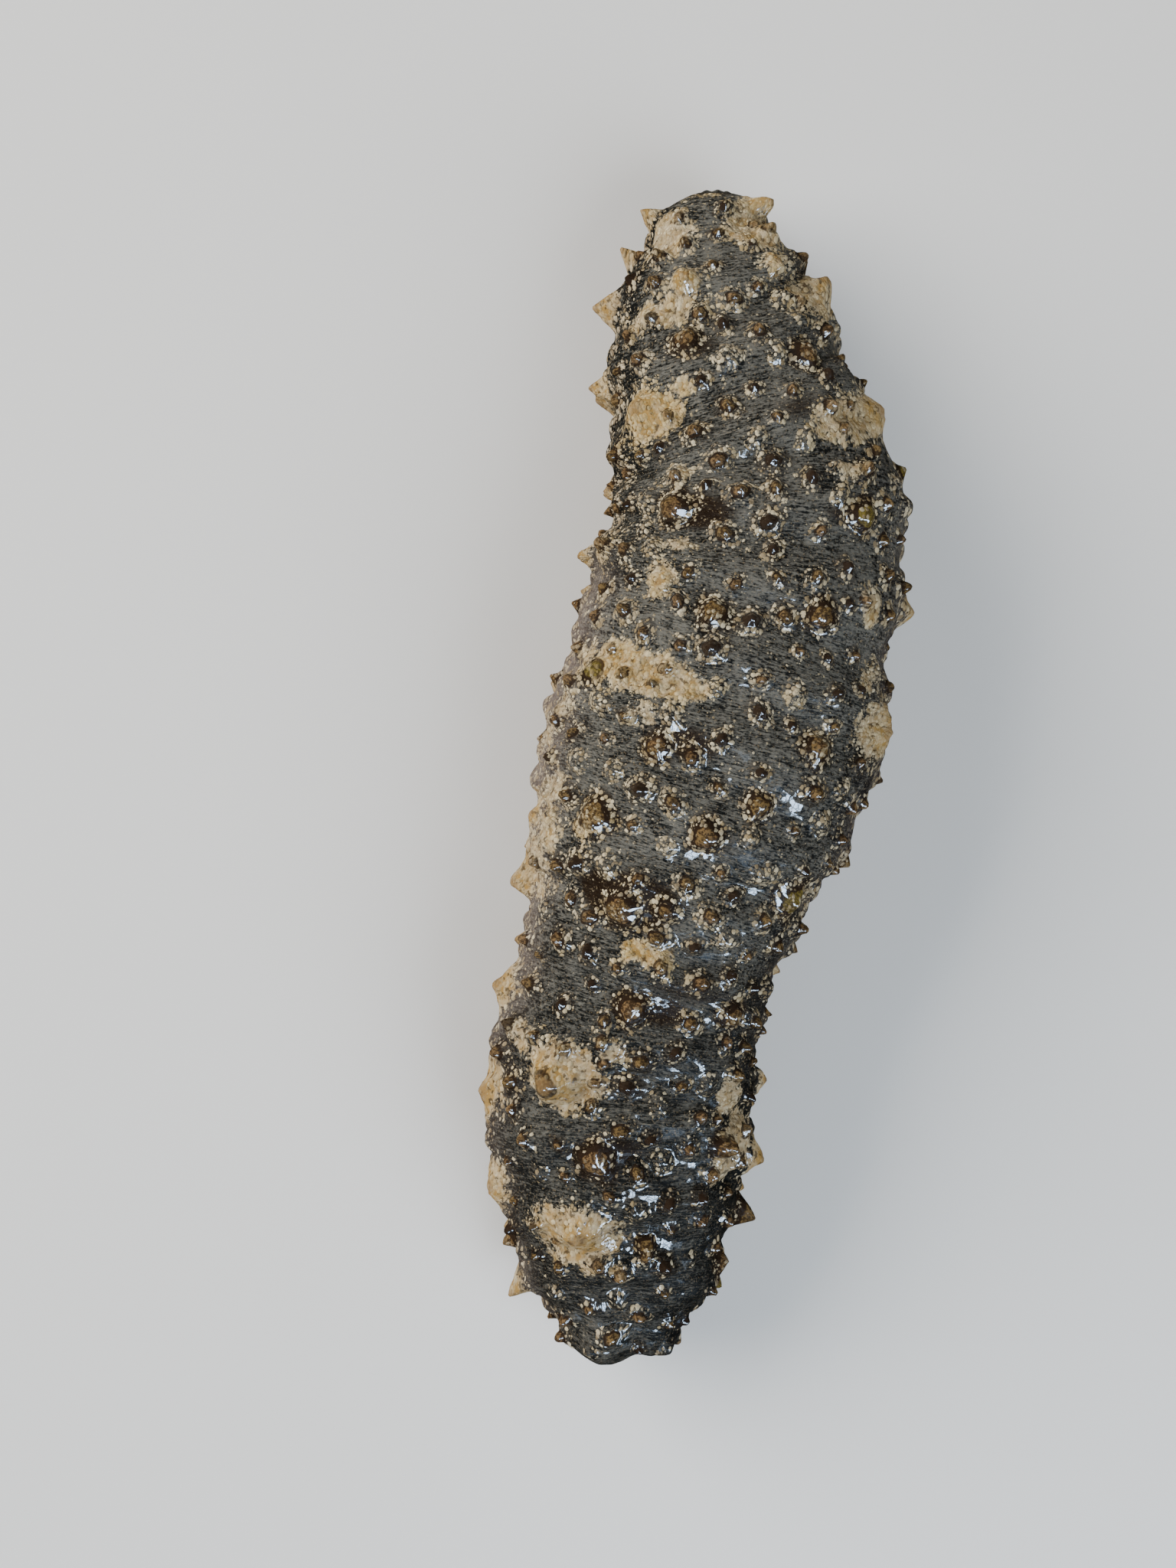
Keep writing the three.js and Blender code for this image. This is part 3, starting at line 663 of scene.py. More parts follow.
def mouth_centre():
    """The middle of the mouth's opening."""
    point, _, _ = body_frame(np.float64(MOUTH["along"]))
    return np.append(point, underside_level(np.float64(MOUTH["along"])) + MOUTH["rise"])


def scatter(taken, spacing):
    """Places spread evenly over the skin, clear of those already taken and of each other."""
    draws = np.random.default_rng(SEED)
    found = []
    places = np.array([place for place, _ in taken])
    clear = np.array([reach for _, reach in taken])
    for _ in range(SMALL_DRAWS):
        along, degrees = draws.uniform(*SMALL_ALONG), draws.uniform(*SMALL_DEGREES)
        place = skin_points(along, math.radians(degrees))
        away = np.linalg.norm(places - place, axis=1)
        own = spacing * draws.uniform(0.85, 1.2)
        if np.any(away < clear):
            continue
        places = np.vstack([places, place])
        clear = np.append(clear, own)
        found.append((along, degrees, draws.uniform()))
    return found


class Parts:
    """Many small turned shapes, gathered into one mesh."""

    def __init__(self):
        self.points, self.faces, self.values, self.total = [], [], [], 0

    def turned(self, profile, size, sides, place, axis, bend=(0, 0, 0), tone=0.0):
        """A shape of revolution, set on a place. Its profile has rows of radius as a share of
        its size, height and tone."""
        axis = unit(np.asarray(axis, float))
        side = unit(np.cross(axis, [0.3, 0.9, 0.2]))
        other = np.cross(axis, side)
        turn = np.arange(sides) * 2 * math.pi / sides
        ring = np.cos(turn)[:, None] * side + np.sin(turn)[:, None] * other
        top = profile[-1][1]
        for share, height, value in profile:
            lean = np.asarray(bend) * (height / top) ** 2
            radius = max(share * size, 1e-3)
            self.points.append(place + axis * height + lean + ring * radius)
            self.values.append(np.full(sides, value + tone))
        rows = len(profile)
        index = self.total + np.arange(rows * sides).reshape(rows, sides)
        beside = np.roll(index, -1, 1)
        quads = np.stack([index[:-1], beside[:-1], beside[1:], index[1:]], -1)
        self.faces.append(quads.reshape(-1, 4))
        self.total += rows * sides

    def build(self, name, mark):
        """One mesh of all the shapes, with their tones as a marking."""
        thing = mesh_object(name, np.concatenate(self.points), [np.concatenate(self.faces)])
        add_point_values(thing.data, {mark: np.concatenate(self.values)})
        return thing


# Materials


class Number:
    """A number in a shader. Expressions on it add Math nodes."""

    def __init__(self, shader, socket):
        self.shader, self.socket = shader, socket

    def __add__(self, other):
        return self.shader.math("ADD", self, other)

    def __radd__(self, other):
        return self.shader.math("ADD", other, self)

    def __sub__(self, other):
        return self.shader.math("SUBTRACT", self, other)

    def __rsub__(self, other):
        return self.shader.math("SUBTRACT", other, self)

    def __mul__(self, other):
        return self.shader.math("MULTIPLY", self, other)

    def __rmul__(self, other):
        return self.shader.math("MULTIPLY", other, self)

    def most(self, other):
        return self.shader.math("MAXIMUM", self, other)

    def least(self, other):
        return self.shader.math("MINIMUM", self, other)

    def clamped(self):
        return self.least(1.0).most(0.0)

    def step(self, low, high):
        """0 below low and 1 above high, smooth between."""
        return self.shader.number(
            "ShaderNodeMapRange",
            {"interpolation_type": "SMOOTHSTEP"},
            {"Value": self, "From Min": low, "From Max": high},
        )


class Shader:
    """A material's node tree, written from expressions."""

    def __init__(self, name, **constants):
        self.material = bpy.data.materials.new(name)
        self.material.use_nodes = True
        self.tree = self.material.node_tree
        self.surface = self.tree.nodes["Principled BSDF"]
        for socket, value in constants.items():
            self.surface.inputs[socket.replace("_", " ")].default_value = value

    def node(self, kind, settings, sockets):
        """A node of a type, with its settings and the values or links of its sockets."""
        node = self.tree.nodes.new(kind)
        for name, value in settings.items():
            setattr(node, name, value)
        for name, value in sockets.items():
            socket = node.inputs[name]
            if isinstance(value, Number):
                value = value.socket
            if isinstance(value, bpy.types.NodeSocket):
                self.tree.links.new(value, socket)
            else:
                socket.default_value = value
        return node

    def number(self, kind, settings, sockets, output=0):
        """One output of a new node, as a number to reckon with."""
        return Number(self, self.node(kind, settings, sockets).outputs[output])

    def math(self, operation, *values):
        sockets = dict(enumerate(values))
        return self.number("ShaderNodeMath", {"operation": operation}, sockets)

    def mark(self, name):
        """A number that the mesh carries under a name."""
        return self.number("ShaderNodeAttribute", {"attribute_name": name}, {}, "Fac")

    def place(self, name, stretch=(1, 1, 1)):
        """A vector value of the mesh, stretched by a factor on each axis."""
        vector = self.node("ShaderNodeAttribute", {"attribute_name": name}, {}).outputs["Vector"]
        node = self.node("ShaderNodeVectorMath", {"operation": "MULTIPLY"}, {0: vector, 1: stretch})
        return node.outputs[0]

    def noise(self, place, scale, detail, roughness=0.55):
        sockets = {"Vector": place, "Scale": scale, "Detail": detail, "Roughness": roughness}
        return self.number("ShaderNodeTexNoise", {}, sockets)

    def speckle(self, scale, detail):
        """Noise over the object's own coordinates, in metres."""
        where = self.node("ShaderNodeTexCoord", {}, {}).outputs["Object"]
        return self.noise(where, scale, detail)

    def beads(self, place, crowd, spacing, small, large):
        """Scattered round beads: how far a point lies within its bead, and the bead's own tone."""
        sockets = {"Vector": place, "Scale": 1 / spacing, "Randomness": 1.0}
        cell = self.node("ShaderNodeTexVoronoi", {}, sockets)
        parts = self.node("ShaderNodeSeparateColor", {}, {"Color": cell.outputs["Color"]})
        chance, size, tone = (Number(self, parts.outputs[i]) for i in range(3))
        reach = (small + size * (large - small)) * (crowd - chance).step(-0.02, 0.1)
        return reach - Number(self, cell.outputs["Distance"]), tone

    def mix(self, share, first, second):
        """A colour between two, at a share of the way from the first to the second."""
        sockets = {0: share, 6: first, 7: second}
        return self.node("ShaderNodeMix", {"data_type": "RGBA"}, sockets).outputs[2]

    def bump(self, height, strength, distance):
        sockets = {"Height": height, "Strength": strength, "Distance": distance}
        return self.node("ShaderNodeBump", {}, sockets).outputs[0]

    def feed(self, **sockets):
        """The finished material, with these values linked to its surface."""
        for name, value in sockets.items():
            value = value.socket if isinstance(value, Number) else value
            self.tree.links.new(value, self.surface.inputs[name.replace("_", " ")])
        return self.material


class SkinPaint:
    """The wet mottled skin, painted from the ground up over the markings of its mesh.

    Each layer keeps the masks that the layers after it need.
    """

    def __init__(self, look):
        self.look = look
        self.shader = s = Shader(
            "wet_warty_skin", Coat_Roughness=0.05, Coat_IOR=1.5, Specular_IOR_Level=0.03
        )
        self.rest = s.place("rest")
        self.marks = {name: s.mark(name) for name in Skin.MARKS}
        self.upward = s.mark("upward")
        axes = s.node("ShaderNodeSeparateXYZ", {}, {"Vector": self.rest})
        self.left = Number(s, axes.outputs["X"]).step(-10, 10)
        self.along = Number(s, axes.outputs["Y"])
        self.cloud, self.patchy, self.fibre, self.grain, self.fleck = (
            s.noise(s.place("rest", (across, along, across)), 1.0, detail, 0.6) - 0.5
            for across, along, detail in (CLOUDS, PATCHES, FIBRES, GRAIN, FLECKS)
        )
        # The head half is darker, with fewer and quieter beads
        self.gloom = self.along.step(*HEAD_GLOOM) * 0.48
        # The sole is bare but for the two tips
        end = self.along + self.patchy * 7
        sole = (self.patchy * 0.4 + self.grain * 0.25 - self.upward).step(0.3, 0.55)
        self.sole = sole * end.step(*SOLE_TAIL) * (1 - end.step(*SOLE_HEAD))
        self.back = 1 - self.sole

    def ground(self):
        """Fibrous grey with painted shade along some edges, purplish flanks with painted light, the
        paler sole, brown smears and fine dust.
        """
        s, look, along, left, upward = self.shader, self.look, self.along, self.left, self.upward
        patchy, fibre, grain = self.patchy, self.fibre, self.grain
        # Painted shade: darker ground along the right edge of the tail half and the left edge of
        # the rest
        right_edge_painted_shade = (1 - left) * (1 - along.step(*TAIL_SHADE)) * (1 - upward.step(0.5, 0.85))
        left_edge_painted_shade = left * (1 - upward).step(0.1, 0.5) * upward.step(-0.3, 0.4)
        shade = right_edge_painted_shade * 0.55 + left_edge_painted_shade * along.step(*LEFT_SHADE) * 0.3
        share = self.cloud * 1.3 + fibre * 2.5 + patchy * 1.2 + grain * 2.0 + self.fleck * 2.7
        share = share * (1 - self.gloom * 0.75) + 0.49 - self.gloom * 0.65 - shade
        colour = s.mix(share.clamped(), look.deep, look.ground)

        self.flank = ((1 - upward).step(0.25, 0.9) * (patchy * 1.1 + 0.8)).clamped()
        self.flank_tint = s.mix(left, look.flank, look.far_flank)
        # Painted light on the flanks: their paler purplish grey grows from the tail half to the
        # middle, and fades in the darker head half and under the painted shade
        lit = 0.1 + 0.6 * along.step(*FLANK_LIGHT) - self.gloom - shade
        share = self.flank * lit.most(0.0) * (1 + grain * 0.8)
        colour = s.mix(share, colour, self.flank_tint)

        bare = 0.66 + patchy * 2.2 + grain * 1.6 + fibre * 1.4
        colour = s.mix(self.sole * 0.95, colour, s.mix(bare.clamped(), look.flank, look.sole))
        brown = (self.marks["smear"] + fibre * 0.6 + patchy * 0.4).step(0.2, 0.8)
        colour = s.mix(brown * 0.92 * self.back, colour, look.smear)
        dust = s.noise(self.rest, 5.2, 1, 0.5).step(0.6, 0.7) * self.back
        return s.mix(dust * 0.32, colour, look.tan)

    def blotches(self, colour):
        """Lumpy cream and ochre blotches with small pits, ragged at their edges."""
        s, look, patchy, grain = self.shader, self.look, self.patchy, self.grain
        self.ragged = self.marks["cream"] + patchy * 1.5 + grain * 0.9
        self.blotch = self.ragged.step(0.5, 0.72) * self.back
        self.core = self.ragged.step(0.75, 1.15)
        self.tone = (self.marks["yellow"] * 1.2 + 0.22 + patchy * 1.8).clamped()
        paste = s.mix(self.tone, look.tan, look.ochre)
        lumpy = s.noise(self.rest, 1.1, 3) - 0.5
        pale = 0.35 + lumpy * 2.6 + grain * 1.4 - self.core * self.tone * 0.3
        paste = s.mix(pale.clamped() * 0.75, paste, look.cream)
        pits = (s.noise(self.rest, 1.5, 2, 0.5) + grain * 0.3).step(0.55, 0.64)
        paste = s.mix(pits * 0.75, paste, look.dark)
        return s.mix(self.blotch * 0.92, colour, paste)

    def beads(self, colour):
        """Crowds of pale beads of two sizes, the larger with dark rims."""
        s, look, grain, core = self.shader, self.look, self.grain, self.core
        crowding = (self.patchy * 2.2 + 0.24).clamped()
        wanted = (self.marks["crowd"] * 1.25).most(self.ragged.step(0.1, 0.75) * 0.9)
        wanted = (wanted + self.flank * crowding).clamped() * self.back * (1 - self.gloom * 1.15)
        stray = 0.13 * self.back * (1 - self.gloom * 1.7)
        self.large, large_tone = s.beads(self.rest, wanted, *LARGE_BEADS)
        self.fine, fine_tone = s.beads(self.rest, wanted * 0.7 + stray, *FINE_BEADS)
        bead = s.mix((large_tone * 1.3 - 0.1 + grain * 0.9).clamped(), look.tan, look.cream)
        bead = s.mix(self.tone * 0.6, bead, look.yellow)
        bead = s.mix(self.flank * 0.35, bead, self.flank_tint)
        specks = self.fine.step(0.0, 0.12) * (0.3 + 0.5 * fine_tone) * (1 - 0.5 * core)
        colour = s.mix(specks, colour, bead)
        self.dots = self.large.step(0.0, 0.12)
        shown = self.dots * (0.68 + 0.25 * large_tone) * (1 - 0.3 * core)
        colour = s.mix(shown, colour, bead)
        rim = (self.large.step(-0.16, -0.02) - self.dots) * (0.4 - 0.3 * self.blotch)
        return s.mix(rim.clamped() * wanted, colour, look.smear)

    def bosses(self, colour):
        """Dark rings round glassy honey-brown and olive bosses, and brown tips."""
        s, look, marks, grain = self.shader, self.look, self.marks, self.grain
        clear = 1 - self.dots * (0.7 - 0.45 * self.blotch)
        mottle = (grain + self.fleck * 0.5).step(-0.08, 0.12)
        # The dark marking also brings the painted shade of the mouth and the vent
        self.ring = (marks["dark"] + grain * 0.5).step(0.3, 0.6) * clear
        colour = s.mix(self.ring * 0.88, colour, look.dark)
        self.glassy = (marks["honey"] + grain * 0.5).step(0.3, 0.6) * clear
        brown = s.noise(self.rest, 0.33, 1, 0.5).step(0.38, 0.62)
        toffee = s.mix(0.12 + mottle * 0.85, look.dark, s.mix(brown, look.honey, look.tip))
        colour = s.mix(self.glassy * 0.85, colour, toffee)
        self.mossy = (marks["olive"] + grain * 0.4).step(0.3, 0.7) * clear
        moss = s.mix(0.3 + mottle * 0.7, look.dark, look.olive)
        colour = s.mix(self.mossy * 0.95, colour, moss)
        return s.mix((marks["tip"] + grain * 0.5).step(0.35, 0.75) * 0.5, colour, look.tip)

    def wetness(self):
        """A film of water in patches with fine cracks, and wet bosses and beads."""
        s, patchy, grain = self.shader, self.patchy, self.grain
        film = s.noise(self.rest, 0.24, 2, 0.5) + self.along * 0.0006 + grain * 0.25 + patchy * 0.3
        sockets = {"Vector": self.rest, "Scale": 2.2}
        cracks = s.number("ShaderNodeTexVoronoi", {"feature": "DISTANCE_TO_EDGE"}, sockets)
        film = film.step(0.57, 0.61) * (0.2 + 0.8 * cracks.step(0.03, 0.12))
        beads = self.dots * (0.45 - 0.35 * self.blotch)
        wet = 0.03 + 0.85 * film + self.ring.most(self.glassy).most(self.mossy).most(beads) * 0.9
        return (wet * (0.2 + 0.8 * self.upward.step(0.1, 0.75))).clamped()

    def relief(self):
        """Fibres, grain and domed beads, too fine for the mesh."""
        domes = (self.large * 1.6).most(0.0).least(0.75) + (self.fine * 1.3).most(0.0).least(0.35)
        height = self.fibre * 0.3 + self.grain * 0.4 + self.patchy * 0.5 + domes
        return self.shader.bump(height, 0.8, 0.00022)

    def material(self):
        """The finished skin."""
        colour = self.bosses(self.beads(self.blotches(self.ground())))
        roughness = 0.46 + self.patchy * 0.3 - self.ring * 0.15 - self.glassy * 0.15
        return self.shader.feed(
            Base_Color=colour,
            Roughness=roughness.least(0.6).most(0.12),
            Coat_Weight=self.wetness(),
            Normal=self.relief(),
        )


def feet_material(look):
    """Tube feet: moist stalks that end in paler discs."""
    s = Shader("tube_foot_skin", Coat_Weight=0.4, Coat_Roughness=0.15, IOR=1.4)
    grain = s.speckle(1400, 3)
    height = (s.mark("height") + (grain - 0.5) * 0.8).step(0.2, 0.8)
    return s.feed(
        Base_Color=s.mix(height, look.foot_disc, look.foot),
        Roughness=0.3 + grain * 0.3,
        Normal=s.bump(grain, 0.4, 0.0001),
    )


def tentacle_material(look):
    """Mouth tentacles: brown stalks with paler, knobbly ends."""
    s = Shader("tentacle_skin", Coat_Weight=0.5, Coat_Roughness=0.12, IOR=1.4)
    grain = s.speckle(1500, 3)
    height = (s.mark("height") + (grain - 0.5) * 0.9).step(0.35, 0.9)
    return s.feed(
        Base_Color=s.mix(height, look.dark, look.tentacle),
        Roughness=0.25 + grain * 0.3,
        Normal=s.bump(grain, 0.5, 0.0001),
    )


def floor_material(look):
    """A pale matt floor with the faintest unevenness."""
    s = Shader("pale_floor")
    grain = s.speckle(30, 4)
    shaded = [0.97 * c for c in look.floor[:3]] + [1]
    return s.feed(Base_Color=s.mix(grain, look.floor, shaded), Roughness=0.6 + grain * 0.1)


# Properties


def seen(red, green, blue):
    """A colour as seen, 0 to 255, as the linear values that a shader takes."""
    def linear(c):
        c /= 255
        return c / 12.92 if c <= 0.04045 else ((c + 0.055) / 1.055) ** 2.4
    return (linear(red), linear(green), linear(blue), 1.0)


def length(name, description, default, low=0.0):
    """A length property, its default in millimetres."""
    return bpy.props.FloatProperty(
        name=name, description=description, default=default * MM, min=low,
        precision=5, unit="LENGTH",
    )


def colour(name, description, *default):
    """A colour property, its default as seen from 0 to 255."""
    return bpy.props.FloatVectorProperty(
        name=name, description=description, default=seen(*default), size=4, min=0, max=1,
        subtype="COLOR",
    )


class CucumberSizes(bpy.types.PropertyGroup):
    """Sizes of the skin's mesh, its small papillae, the tube feet and the tentacles"""

    grid: length("Grid", "Spacing of the skin's mesh", 0.2)
    quick_grid: length("Quick grid", "Spacing of the skin's mesh in a quick look", 0.3)
    small_spacing: length("Papilla spacing", "Distance between small papillae", 2.85)
    small_radius: length("Papilla radius", "Radius of a small papilla", 1.2)
    small_height: length("Papilla height", "Height of a small papilla", 0.82)
    bead_height: length("Bead height", "Height of the unevenness where beads crowd", 0.16)
    wrinkle_depth: length("Wrinkle depth", "Depth of the fine wrinkles", 0.3)
    foot_radius: length("Foot radius", "Radius of a tube foot's disc", 0.62)
    foot_spacing: length("Foot spacing", "Least distance between tube feet", 1.5)
    tentacle_radius: length("Tentacle radius", "Radius of a mouth tentacle", 0.47)


class CucumberLook(bpy.types.PropertyGroup):
    """Colours of the animal and its floor"""

    deep: colour("Deep ground", "Darkest colour of the skin", 20, 21, 20)
    ground: colour("Ground", "Lighter colour of the skin", 97, 95, 88)
    flank: colour("Flank", "Purplish grey of the right flank", 130, 115, 107)
    far_flank: colour("Far flank", "Darker, redder grey of the left flank", 80, 67, 65)
    sole: colour("Sole", "Colour of the creeping sole", 160, 140, 116)
    smear: colour("Smear", "Dark brown beside the warts", 31, 21, 12)
    cream: colour("Cream", "Palest beads", 206, 193, 163)
    yellow: colour("Yellow cream", "Yellower beads and blotches", 192, 165, 104)
    ochre: colour("Ochre", "Ochre ground of the yellower blotches", 152, 121, 68)
    tan: colour("Tan", "Tan ground of the blotches", 139, 122, 95)
    dark: colour("Dark boss", "Dark brown of the papillae's bosses", 42, 31, 22)
    honey: colour("Honey", "Glassy honey-brown warts", 118, 96, 60)
    olive: colour("Olive", "Glassy olive warts", 112, 98, 46)
    tip: colour("Tip", "Brown tips of the pointed papillae", 124, 98, 66)
    foot: colour("Foot", "Stalks of the tube feet", 134, 106, 82)
    foot_disc: colour("Foot disc", "Discs of the tube feet", 176, 152, 122)
    tentacle: colour("Tentacle", "Ends of the mouth tentacles", 178, 148, 100)
    floor: colour("Floor", "Pale floor", 226, 224, 220)


class CucumberStage(bpy.types.PropertyGroup):
    """The camera's place and the strength of the lights"""

    camera_x: length("Camera X", "Camera's place to the animal's left", -10.92, -1.0)
    camera_y: length("Camera Y", "Camera's place towards the tail", -0.73, -1.0)
    camera_z: length("Camera height", "Camera's height over the floor", 206)
    lens: bpy.props.FloatProperty(
        name="Lens", description="Focal length in millimetres", default=45.0, min=10,
        subtype="DISTANCE_CAMERA",
    )
    key_power: bpy.props.FloatProperty(
        name="Key", description="Power of the large soft light", default=12.5, min=0, unit="POWER"
    )
    glint: bpy.props.FloatProperty(
        name="Glints", description="Brightness of the bluish lights seen in the wet skin",
        default=50.0, min=0,
    )
    world: bpy.props.FloatProperty(
        name="World", description="Strength of the even light from all round", default=0.25, min=0
    )


# Operators


class OBJECT_OT_cucumber_skin(bpy.types.Operator):
    """Build the one skin of the whole animal, with its papillae, warts and markings"""

    bl_idname = "object.cucumber_skin"
    bl_label = "Build the Skin"

    def execute(self, context):
        sizes, look = context.scene.cucumber_sizes, context.scene.cucumber_look
        skin = Skin(sizes.grid / MM)
        skin.wrinkle(sizes.wrinkle_depth / MM)
        draws = np.random.default_rng(SEED)
        large = [*FRINGE, *BACK_WARTS, *lower_row()]
        for row in large:
            skin.raise_papilla(*row, draws.uniform())
        for along, degrees, across, lengthwise, strength, yellow in BLOTCHES:
            skin.stain("cream", along, degrees, across, lengthwise, strength)
            skin.stain("yellow", along, degrees, 1.3 * across, 1.3 * lengthwise, yellow)
        for row in SMEARS:
            skin.stain("smear", *row)
        taken = [(skin_points(a, math.radians(d)), 1.05 * r + 1.0) for a, d, r, *_ in large]
        taken += [(skin_points(a, math.radians(d)), 1.5 * r) for a, d, r in RING_WARTS]
        small = scatter(taken, sizes.small_spacing / MM)
        for along, degrees, radius in RING_WARTS:
            skin.raise_small(along, degrees, radius, 0.6 * radius, draws.uniform(), True)
        radius, height = sizes.small_radius / MM, sizes.small_height / MM
        for along, degrees, draw in small:
            size = 0.72 + 0.55 * draw
            skin.raise_small(along, degrees, radius * size, height * size, draw)
        skin.roughen(sizes.bead_height / MM)
        skin.shape_head()
        skin.open_mouth()
        skin.open_vent()
        thing = skin.build("skin")
        thing.data.materials.append(SkinPaint(look).material())
        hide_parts(*(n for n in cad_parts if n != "mouth_tentacles"))
        return {"FINISHED"}


def lower_row():
    """The papillae along both edges of the sole, each side half a step from the other."""
    row = []
    spacing, drop = LOWER_ROW["spacing"], LOWER_ROW["drop"]
    for turn, along in enumerate(np.arange(LOWER_ROW["from"], LOWER_ROW["to"], spacing)):
        size = 1 + 0.16 * math.sin(turn * 2.1)
        shape = (LOWER_ROW["radius"] * size, LOWER_ROW["height"] * size, CREAM)
        row += [(along, -drop, *shape), (along + spacing / 2, 180 + drop, *shape)]
    return row


class OBJECT_OT_cucumber_feet(bpy.types.Operator):
    """Build the tube feet that the sole stands on"""

    bl_idname = "object.cucumber_feet"
    bl_label = "Build the Tube Feet"

    def execute(self, context):
        sizes, look = context.scene.cucumber_sizes, context.scene.cucumber_look
        radius, spacing = sizes.foot_radius / MM, sizes.foot_spacing / MM
        feet = Parts()
        draws = np.random.default_rng(SEED + 1)
        places = np.empty((0, 2))
        for _ in range(FOOT_DRAWS):
            at, share = draws.uniform(*FOOT_ALONG), draws.uniform(*FOOT_SHARES)
            if FOOT_GAP[0] < abs(share) < FOOT_GAP[1]:
                continue
            point, _, left = body_frame(np.float64(at))
            widths = LEFT_HALF_WIDTH if share > 0 else RIGHT_HALF_WIDTH
            place = point + left * share * station_curve(widths, at)
            if len(places) and np.linalg.norm(places - place, axis=1).min() < spacing:
                continue
            places = np.vstack([places, place])
            size, tone = radius * draws.uniform(0.8, 1.12), draws.uniform(-0.15, 0.3)
            bend = (*draws.uniform(-0.25, 0.25, 2), 0)
            feet.turned(FOOT, size, 12, np.append(place, 0), (0, 0, 1), bend, tone)
        thing = feet.build("tube_feet", "height")
        thing.data.materials.append(feet_material(look))
        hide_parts("sole_rear", "sole_middle", "sole_front")
        return {"FINISHED"}


class OBJECT_OT_cucumber_tentacles(bpy.types.Operator):
    """Build the tentacles drawn into the mouth"""

    bl_idname = "object.cucumber_tentacles"
    bl_label = "Build the Mouth Tentacles"

    def execute(self, context):
        sizes, look = context.scene.cucumber_sizes, context.scene.cucumber_look
        radius = sizes.tentacle_radius / MM
        _, heading, left = body_frame(np.float64(MOUTH["along"]))
        facing = unit(np.append(MOUTH["tilt"] * heading, -1.0))
        side = np.append(left, 0)
        other = np.cross(facing, side)
        knobs = Parts()
        draws = np.random.default_rng(SEED + 2)
        for count, share in TENTACLE_RINGS:
            for i in range(count):
                turn = 2 * math.pi * i / count
                out = math.cos(turn) * side + math.sin(turn) * other
                foot = mouth_centre() - draws.uniform(1.8, 2.3) * facing
                foot = foot + (0.92 + draws.uniform(-0.06, 0.06)) * share * MOUTH["radius"] * out
                size = radius * draws.uniform(0.85, 1.2)
                knobs.turned(STALK, size, 10, foot, facing)
                for bud in range(BUDS_ROUND + 1):
                    spin = 2 * math.pi * bud / BUDS_ROUND + turn * 3.7
                    tilt = 0.0 if bud == BUDS_ROUND else draws.uniform(0.45, 0.95)
                    aim = unit(facing + tilt * (math.cos(spin) * side + math.sin(spin) * other))
                    place = foot + 1.3 * facing + 1.15 * size * aim
                    knobs.turned(BUD, draws.uniform(0.8, 1.25), 8, place, aim)
        thing = knobs.build("mouth_tentacle_crown", "height")
        thing.data.materials.append(tentacle_material(look))
        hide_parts("mouth_tentacles")
        return {"FINISHED"}


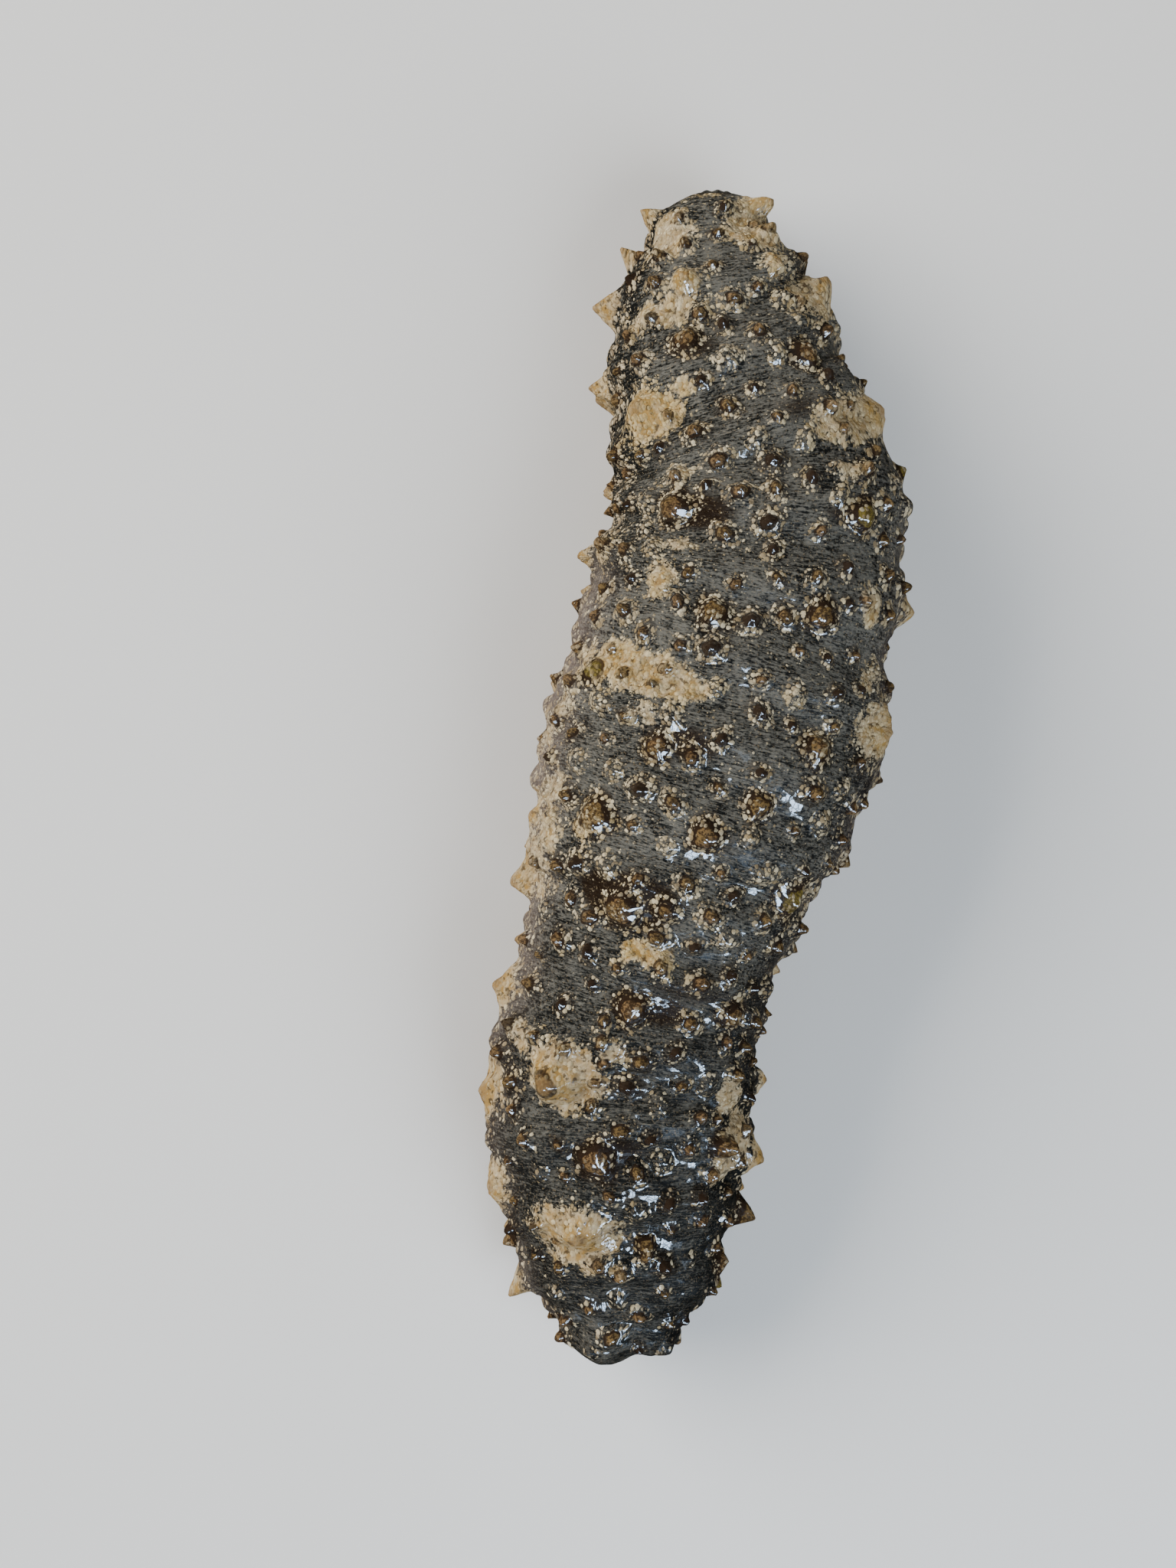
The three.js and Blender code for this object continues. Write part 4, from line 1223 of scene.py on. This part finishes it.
class SCENE_OT_cucumber_stage(bpy.types.Operator):
    """Lay the pale floor and set the camera and the soft lights"""

    bl_idname = "scene.cucumber_stage"
    bl_label = "Set the Stage"

    def execute(self, context):
        stage, look = context.scene.cucumber_stage, context.scene.cucumber_look
        corners = ((-1, -1), (1, -1), (1, 1), (-1, 1))
        points = [(x * FLOOR_REACH, y * FLOOR_REACH, 0) for x, y in corners]
        mesh = bpy.data.meshes.new("floor")
        mesh.from_pydata(points, [], [(0, 1, 2, 3)])
        floor = bpy.data.objects.new("floor", mesh)
        context.collection.objects.link(floor)
        mesh.materials.append(floor_material(look))
        floor.visible_glossy = False

        camera = bpy.data.objects.new("camera", bpy.data.cameras.new("camera"))
        context.collection.objects.link(camera)
        camera.location = (stage.camera_x, stage.camera_y, stage.camera_z)
        camera.data.lens = stage.lens
        camera.data.sensor_width = 36
        camera.data.clip_start = 0.01
        context.scene.camera = camera

        for name, place, width, height, share, tint in SOFT_LIGHTS:
            self.area(name, place, width, height, share * stage.key_power, tint, "glossy")
        for name, place, width, height in GLINTS:
            power = stage.glint * math.pi * width * height
            self.area(name, place, width, height, power, GLINT_TINT, "diffuse")

        world = bpy.data.worlds.new("soft_grey")
        world.use_nodes = True
        background = world.node_tree.nodes["Background"]
        background.inputs["Color"].default_value = SKY_TINT
        background.inputs["Strength"].default_value = stage.world
        world.cycles_visibility.glossy = False
        context.scene.world = world
        return {"FINISHED"}

    @staticmethod
    def area(name, place, width, height, power, tint, unseen):
        """A rectangular light on the middle of the animal, left out of one kind of reflection."""
        data = bpy.data.lights.new(name, "AREA")
        data.shape, data.size, data.size_y = "RECTANGLE", width, height
        data.energy, data.color = power, tint
        lamp = bpy.data.objects.new(name, data)
        bpy.context.collection.objects.link(lamp)
        lamp.location = place
        setattr(lamp, "visible_" + unseen, False)
        aim = Vector((0, 0, 0.01)) - Vector(place)
        lamp.rotation_euler = aim.to_track_quat("-Z", "Y").to_euler()


class VIEW3D_PT_cucumber(bpy.types.Panel):
    """The sea cucumber's pieces, sizes and colours"""

    bl_idname = "VIEW3D_PT_cucumber"
    bl_label = "Warty Sea Cucumber"
    bl_space_type = "VIEW_3D"
    bl_region_type = "UI"
    bl_category = "Sea Cucumber"

    def draw(self, context):
        for operator in PIECES:
            self.layout.operator(operator.bl_idname)
        for group in ("cucumber_sizes", "cucumber_look", "cucumber_stage"):
            settings = getattr(context.scene, group)
            box = self.layout.box()
            for name in settings.bl_rna.properties.keys():
                if name not in {"rna_type", "name"}:
                    box.prop(settings, name)


PIECES = (
    OBJECT_OT_cucumber_skin,
    OBJECT_OT_cucumber_feet,
    OBJECT_OT_cucumber_tentacles,
    SCENE_OT_cucumber_stage,
)
CLASSES = (CucumberSizes, CucumberLook, CucumberStage, *PIECES, VIEW3D_PT_cucumber)


def register():
    for item in CLASSES:
        bpy.utils.register_class(item)
    bpy.types.Scene.cucumber_sizes = bpy.props.PointerProperty(type=CucumberSizes)
    bpy.types.Scene.cucumber_look = bpy.props.PointerProperty(type=CucumberLook)
    bpy.types.Scene.cucumber_stage = bpy.props.PointerProperty(type=CucumberStage)


def unregister():
    del bpy.types.Scene.cucumber_stage
    del bpy.types.Scene.cucumber_look
    del bpy.types.Scene.cucumber_sizes
    for item in reversed(CLASSES):
        bpy.utils.unregister_class(item)


def main():
    """Build everything."""
    register()
    for operator in PIECES:
        group, name = operator.bl_idname.split(".")
        getattr(getattr(bpy.ops, group), name)()


if __name__ == "__main__":
    main()
